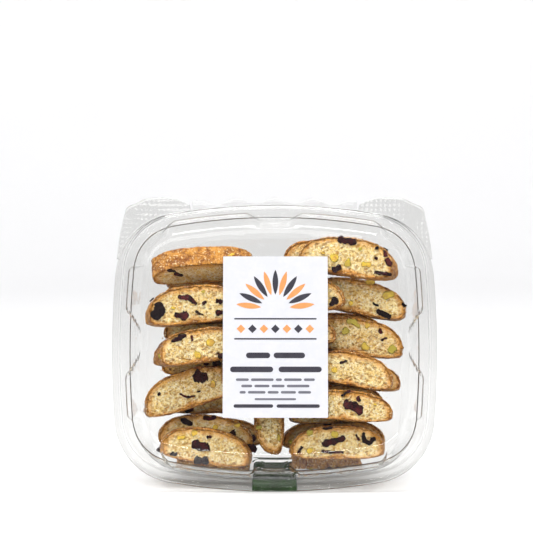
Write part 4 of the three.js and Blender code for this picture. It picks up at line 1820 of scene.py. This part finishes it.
@dataclass(frozen=True)
class Seal:
    """Dark green paper strip from the back panel round the foot and down the back of the flange."""

    base: Base
    width: float = 25.0
    up: float = 9.0
    end: float = 1.1
    bulge: Pair = (0.4, -9.0)
    fold: tuple[Pair, ...] = ((0.1, -1.5), (0.6, 0.0), (2.4, 0.0))
    columns: int = 14
    rows: int = 60
    turn_rows: int = 12
    paper_play: float = 0.02

    def build(self) -> Piece:
        """The strip follows the foot's outline at an even distance, with a quarter circle at the fillet."""
        base = self.base
        offset = base.gap + base.seal_thickness / 2
        edge = base.outline.half_height + base.outline.lower_lip
        foot = edge - base.foot_inset()
        outer_radius = base.fillet + base.cad_wall
        centre = -(foot - outer_radius), -(base.depth + base.cad_wall - outer_radius)
        radius = outer_radius + offset
        angle = np.linspace(math.pi / 2, 0, self.turn_rows)
        turn = np.stack([centre[0] - radius * np.cos(angle), centre[1] - radius * np.sin(angle)], axis=-1)
        back = -(base.gap / 2 + base.cad_wall + offset)
        out, at = self.bulge
        folded = [(-(foot + offset + out), back + behind) for out, behind in self.fold]
        rest = [(-(foot + offset + out), at), *folded, (-(edge - self.end), back)]
        start = (-foot + self.up, -(base.depth + base.cad_wall + offset))
        strip = np.vstack([[start], turn, rounded_line([tuple(turn[-1]), *rest], 2)[1:]])
        path = resampled(strip, self.rows)
        x = np.linspace(-self.width / 2, self.width / 2, self.columns)
        points = np.stack(np.broadcast_arrays(x, path[:, :1], path[:, 1:]), axis=-1).reshape(-1, 3)
        faces = sheet_faces(self.rows, self.columns)
        piece = add_mesh("green_seal", base.plane.to_frame(points), faces.tolist())
        solidify(piece, base.seal_thickness - self.paper_play)
        return piece


@dataclass(frozen=True)
class Bar:
    """Rounded bar of print, in millimetres from the label's middle."""

    x: float
    y: float
    width: float
    height: float


@dataclass(frozen=True)
class FrontLabel:
    """The label's paper and its print of plain shapes."""

    label: Label
    plane: PackPlane
    wide_bars: tuple[Bar, ...] = (
        Bar(-9.6, -10.4, 13.5, 3.1), Bar(7.8, -10.4, 17.5, 3.1),
        Bar(-13.2, -18.2, 24, 3.1), Bar(13.8, -18.2, 24, 3.1),
    )
    dash_rows: tuple[float, ...] = (-23.9, -27.4, -30.9)
    dash_widths: tuple[float, ...] = (7.2, 12.6, 3.4, 9.8, 6.1, 8.4)
    dash_height: float = 1.4
    dash_gap: float = 1.2
    foot_bars: tuple[Bar, ...] = (
        Bar(0, -34.7, 23, 1.1), Bar(-12.2, -38.5, 22, 1.9), Bar(12.7, -38.5, 24, 1.9),
    )
    fan_rays: int = 11
    fan_middle: float = 15.5
    fan_radii: Pair = (8.0, 22.0)
    fan_spread: float = math.radians(166)
    ray_half_width: float = 1.6
    ray_points: int = 12
    diamonds: int = 7
    diamond_pitch: float = 6.4
    diamond_middle: float = 4.4
    diamond_size: float = 2.4
    rule_heights: Pair = (10.0, -1.2)
    rule_half_width: float = 23.0
    rule_thickness: float = 0.8

    def rounded_bar(self, bar: Bar) -> Array:
        """Outline of a bar with half-circle ends."""
        radius = bar.height / 2
        turn = np.linspace(-math.pi / 2, math.pi / 2, 7)
        end = np.stack([bar.width / 2 - radius + radius * np.cos(turn), radius * np.sin(turn)], axis=-1)
        return np.vstack([end, -end]) + [bar.x, bar.y]

    def ray(self, angle: float) -> Array:
        """Outline of one leaf-shaped ray of the fan: its half width is a sine along its length."""
        near, far = self.fan_radii
        share = np.linspace(0, 1, self.ray_points)
        half = self.ray_half_width * np.sin(math.pi * share) ** 0.8
        along = near + (far - near) * share
        flat = np.vstack([np.stack([along, -half], axis=-1), np.stack([along, half], axis=-1)[-2:0:-1]])
        turn = np.array([[math.cos(angle), math.sin(angle)], [-math.sin(angle), math.cos(angle)]])
        return flat @ turn + [0, self.fan_middle]

    def shapes(self) -> dict[str, list[Array]]:
        """Outlines of the print by colour.

        Returns:
            Lists of outlines named dark, warm and grey.
        """
        half = self.fan_spread / 2
        angles = np.linspace(math.pi / 2 + half, math.pi / 2 - half, self.fan_rays)
        rays = [self.ray(float(angle)) for angle in angles]
        steps = (np.arange(self.diamonds) - (self.diamonds - 1) / 2) * self.diamond_pitch
        corner = np.array([[1, 0], [0, 1], [-1, 0], [0, -1]]) * self.diamond_size
        diamonds = [corner + [step, self.diamond_middle] for step in steps]
        rules = [
            self.rounded_bar(Bar(0, y, 2 * self.rule_half_width, self.rule_thickness))
            for y in self.rule_heights
        ]
        dashes = []
        for row, y in enumerate(self.dash_rows):
            widths = np.roll(self.dash_widths, 2 * row)[: 5 - row % 2]
            starts = np.concatenate([[0], np.cumsum(widths + self.dash_gap)])
            left = -(starts[-1] - self.dash_gap) / 2
            dashes += [
                self.rounded_bar(Bar(left + start + width / 2, y, width, self.dash_height))
                for start, width in zip(starts, widths)
            ]
        dark = [self.rounded_bar(bar) for bar in self.wide_bars + self.foot_bars[1:]]
        return {
            "dark": rules + dark + rays[1::2] + diamonds[1::2],
            "warm": rays[::2] + diamonds[::2],
            "grey": [*dashes, self.rounded_bar(self.foot_bars[0])],
        }

    def paper(self) -> Piece:
        """Thin plate with small round corners."""
        label = self.label
        turn = np.linspace(0, math.pi / 2, 6)
        quarter = label.corner * np.stack([np.cos(turn), np.sin(turn)], axis=-1)
        middle = np.array([label.width, label.height]) / 2 - label.corner
        outline = np.vstack([
            quarter @ np.linalg.matrix_power(QUARTER_TURN, turns) + middle * signs
            for turns, signs in enumerate(((1, 1), (-1, 1), (-1, -1), (1, -1)))
        ])
        points, faces = flat_plate(outline + label.centre, label.paper_low, label.paper_high)
        piece = add_mesh("label_paper", self.plane.to_frame(points), faces, smooth=False)
        rounding = piece.modifiers.new("soft edge", "BEVEL")
        rounding.width, rounding.segments = 0.05 * MM, 2
        return piece

    def print_layer(self, name: str, outlines: list[Array]) -> Piece:
        """All shapes of one ink as thin plates.

        Args:
            name: Name of the piece.
            outlines: Outlines from the label's middle.

        Returns:
            The joined mesh object.
        """
        label = self.label
        plates = [flat_plate(outline + label.centre, label.ink_low, label.ink_high) for outline in outlines]
        points, faces = joined(plates)
        return add_mesh(name, self.plane.to_frame(points), faces, smooth=False)


@dataclass(frozen=True)
class Crumbs:
    """Loose crumbs along the tub's lower wall and a few on its back panel."""

    base: Base
    count: int = 170
    on_back: int = 26
    seed: int = 71
    spread: float = 34.0
    fallen_x: Pair = (14.0, 58.0)
    fallen_z: Pair = (-37.0, -6.0)
    stuck_x: Pair = (60.0, 68.0)
    stuck_y: Pair = (-62.0, 10.0)
    right_share: float = 0.6
    lift: float = 0.35
    sizes: Pair = (0.18, 0.55)
    stretch: Pair = (0.7, 1.2)
    jitter: Pair = (0.75, 1.2)
    rings: int = 3
    around: int = 6

    def places(self, random: np.random.Generator) -> Array:
        """Middles of the crumbs in the pack's plane: along a parabola on the wall, and on the back panel."""
        base = self.base
        wall = base.outline.half_height + base.outline.lower_lip - base.foot_inset() - base.cad_wall
        sides = random.choice([-1, 1], self.count)
        x = sides * np.clip(np.abs(random.normal(0, self.spread, self.count)), *self.fallen_x)
        low = -(wall - self.lift - x**2 / (2 * base.outline.crown_radius))
        z = random.uniform(*self.fallen_z, self.count)
        fallen = np.stack([x, low, z], axis=-1)
        sides = np.where(random.uniform(size=self.on_back) < self.right_share, 1, -1)
        back_x = sides * random.uniform(*self.stuck_x, self.on_back)
        back_y = random.uniform(*self.stuck_y, self.on_back)
        stuck = np.stack([back_x, back_y, np.full(self.on_back, -base.depth + self.lift)], axis=-1)
        return np.vstack([fallen, stuck])

    def build(self) -> Piece:
        """Small uneven balls: a unit ball scaled by a size, a flatness and a noise."""
        random = np.random.default_rng(self.seed)
        places = self.places(random)
        polar = np.linspace(0, math.pi, self.rings + 2)[1:-1, None]
        angle = np.linspace(0, 2 * math.pi, self.around, endpoint=False)[None]
        rings = np.stack(np.broadcast_arrays(
            np.sin(polar) * np.cos(angle), np.sin(polar) * np.sin(angle), np.cos(polar)
        ), axis=-1).reshape(-1, 3)
        ball = np.vstack([[[0, 0, 1]], rings, [[0, 0, -1]]])
        size = random.uniform(*self.sizes, (len(places), 1, 1))
        size = size * random.uniform(*self.stretch, (len(places), 1, 3))
        jitter = random.uniform(*self.jitter, (len(places), len(ball), 1))
        points = places[:, None] + ball[None] * size * jitter
        faces = ball_faces(self.rings, self.around)[:, ::-1]
        faces = faces[None] + (np.arange(len(places)) * len(ball))[:, None, None]
        piece = add_mesh(
            "crumbs", self.base.plane.to_frame(points.reshape(-1, 3)), faces.reshape(-1, 3).tolist()
        )
        each = len(ball)
        set_attribute(piece, "crust", np.repeat(random.uniform(0.2, 0.9, len(places)), each))
        set_attribute(piece, "pit", np.zeros(len(points.reshape(-1, 3))))
        set_attribute(piece, "toast", np.repeat(random.uniform(0.2, 1, len(places)), each))
        return piece


@dataclass(frozen=True)
class Softbox:
    """One soft light: where it hangs, where it points, its size in metres and its power in watts."""

    name: str
    place: Triple
    target: Triple
    size: Pair
    power: float
    seen: bool = True
    gloss_only: bool = False

    def add(self) -> None:
        """Makes the light."""
        data = bpy.data.lights.new(self.name, "AREA")
        data.shape, data.energy = "RECTANGLE", self.power
        data.size, data.size_y = self.size
        light = add_object(self.name, data)
        light.location = self.place
        light.visible_camera = light.visible_transmission = self.seen
        light.visible_diffuse = not self.gloss_only
        aim = Vector(self.target) - Vector(self.place)
        light.rotation_euler = aim.to_track_quat("-Z", "Y").to_euler()


@dataclass(frozen=True)
class Studio:
    """Pale round sweep, soft lights and the camera."""

    view: PhotoView
    floor_radius: float = 1.35
    cove: float = 0.45
    wall_top: float = 1.0
    first_ring: float = 0.05
    floor_rings: int = 13
    cove_rings: int = 12
    columns: int = 96
    sky: Colour = (0.165, 0.163, 0.16, 1.0)
    lights: tuple[Softbox, ...] = (
        Softbox("overhead softbox", (0.0, -0.12, 1.2), (0.0, 0.0, 0.08), (0.8, 0.6), 12.8),
        Softbox("front softbox", (-0.4, -1.2, 1.0), (0.0, 0.0, 0.08), (1.3, 0.8), 9.9),
        Softbox("right softbox", (1.0, -0.7, 0.8), (0.0, 0.0, 0.08), (0.6, 0.6), 2.5),
        Softbox(
            "low strip", (0.0, -1.1, 0.06), (0.0, 0.0, 0.06), (0.8, 0.05), 2.4, seen=False, gloss_only=True,
        ),
        Softbox("back softbox", (0.0, 0.75, 1.3), (0.0, 1.7, 0.35), (1.6, 0.4), 6.8),
        Softbox("back left softbox", (-0.9, 0.3, 1.3), (-1.5, 0.9, 0.3), (0.9, 0.4), 2.4),
        Softbox("back right softbox", (0.9, 0.3, 1.3), (1.5, 0.9, 0.3), (0.9, 0.4), 2.4),
    )

    def sweep(self) -> Piece:
        """Floor disc that turns up into a round wall: two lines and a quarter circle, revolved."""
        turn = np.linspace(0, math.pi / 2, self.cove_rings)
        floor = np.linspace(self.first_ring, self.floor_radius, self.floor_rings, endpoint=False)
        radius = np.concatenate([
            floor, self.floor_radius + self.cove * np.sin(turn), [self.floor_radius + self.cove]
        ])
        height = np.concatenate([np.zeros(len(floor)), self.cove * (1 - np.cos(turn)), [self.wall_top]])
        angle = np.linspace(0, 2 * math.pi, self.columns, endpoint=False)
        rings = np.stack([
            radius[:, None] * np.cos(angle), radius[:, None] * np.sin(angle),
            np.broadcast_to(height[:, None], (len(radius), self.columns)),
        ], axis=-1)
        points = np.vstack([[[0, 0, 0]], rings.reshape(-1, 3)])
        return add_mesh("sweep", points, disc_faces(len(radius), self.columns))

    def build(self) -> None:
        """Makes the sweep, the sky above it, the lights and the camera."""
        sweep = self.sweep()
        sweep.data.materials.append(Backdrop().build())
        world = bpy.data.worlds.new("dim room")
        world.use_nodes = True
        world.node_tree.nodes["Background"].inputs["Color"].default_value = self.sky
        bpy.context.scene.world = world
        for light in self.lights:
            light.add()
        bpy.context.scene.view_settings.view_transform = "Standard"
        self.view.add_camera()


def main() -> None:
    """Builds the pack from the inside out, then the studio."""
    label = Label()
    plane = PackPlane.from_frame(math.radians(10), label)
    view = PhotoView(tuple(plane.to_frame(np.zeros(3))))
    groups = Groups(pore_group(), patch_group())
    clear = ClearPlastic().build()
    dough = BakedDough(groups).build()

    fillings = BiscottiStack(plane, view).build(dough)
    finish_piece(fillings.build(Filling.FRUIT), DriedFruit(groups).build(), Slot.BAKED)
    finish_piece(fillings.build(Filling.NUT), GreenNut(groups).build(), Slot.BAKED)

    outline = PackOutline()
    base = Base(outline, plane)
    finish_piece(Crumbs(base).build(), dough, Slot.BAKED)
    finish_piece(base.build(), clear, Slot.CLEAR, "base")
    finish_piece(Lid(outline, plane).build(), clear, Slot.CLEAR, "lid")
    finish_piece(TearStrip(plane).build(), clear, Slot.CLEAR, "tear_strip")

    green = Paper("green seal paper", srgb(30, 68, 8), srgb(20, 50, 4), groups, 0.6)
    finish_piece(Seal(base).build(), green.build(), Slot.SEAL, "seal")
    front = FrontLabel(label, plane)
    white = Paper("white label paper", srgb(233, 233, 239), srgb(229, 230, 236), groups, 0.45)
    finish_piece(front.paper(), white.build(), Slot.LABEL, "label")
    inks = {
        "dark": Paper("dark print", srgb(58, 56, 66), srgb(66, 64, 74), groups, 0.45),
        "warm": Paper("warm print", srgb(240, 168, 104), srgb(236, 160, 96), groups, 0.45),
        "grey": Paper("grey print", srgb(112, 112, 122), srgb(122, 122, 132), groups, 0.45),
    }
    for tone, outlines in front.shapes().items():
        layer = front.print_layer(f"label_print_{tone}", outlines)
        finish_piece(layer, inks[tone].build(), Slot.LABEL)

    Studio(view).build()


if __name__ == "__main__":
    logging.basicConfig(level=logging.INFO, format="%(name)s: %(message)s")
    main()
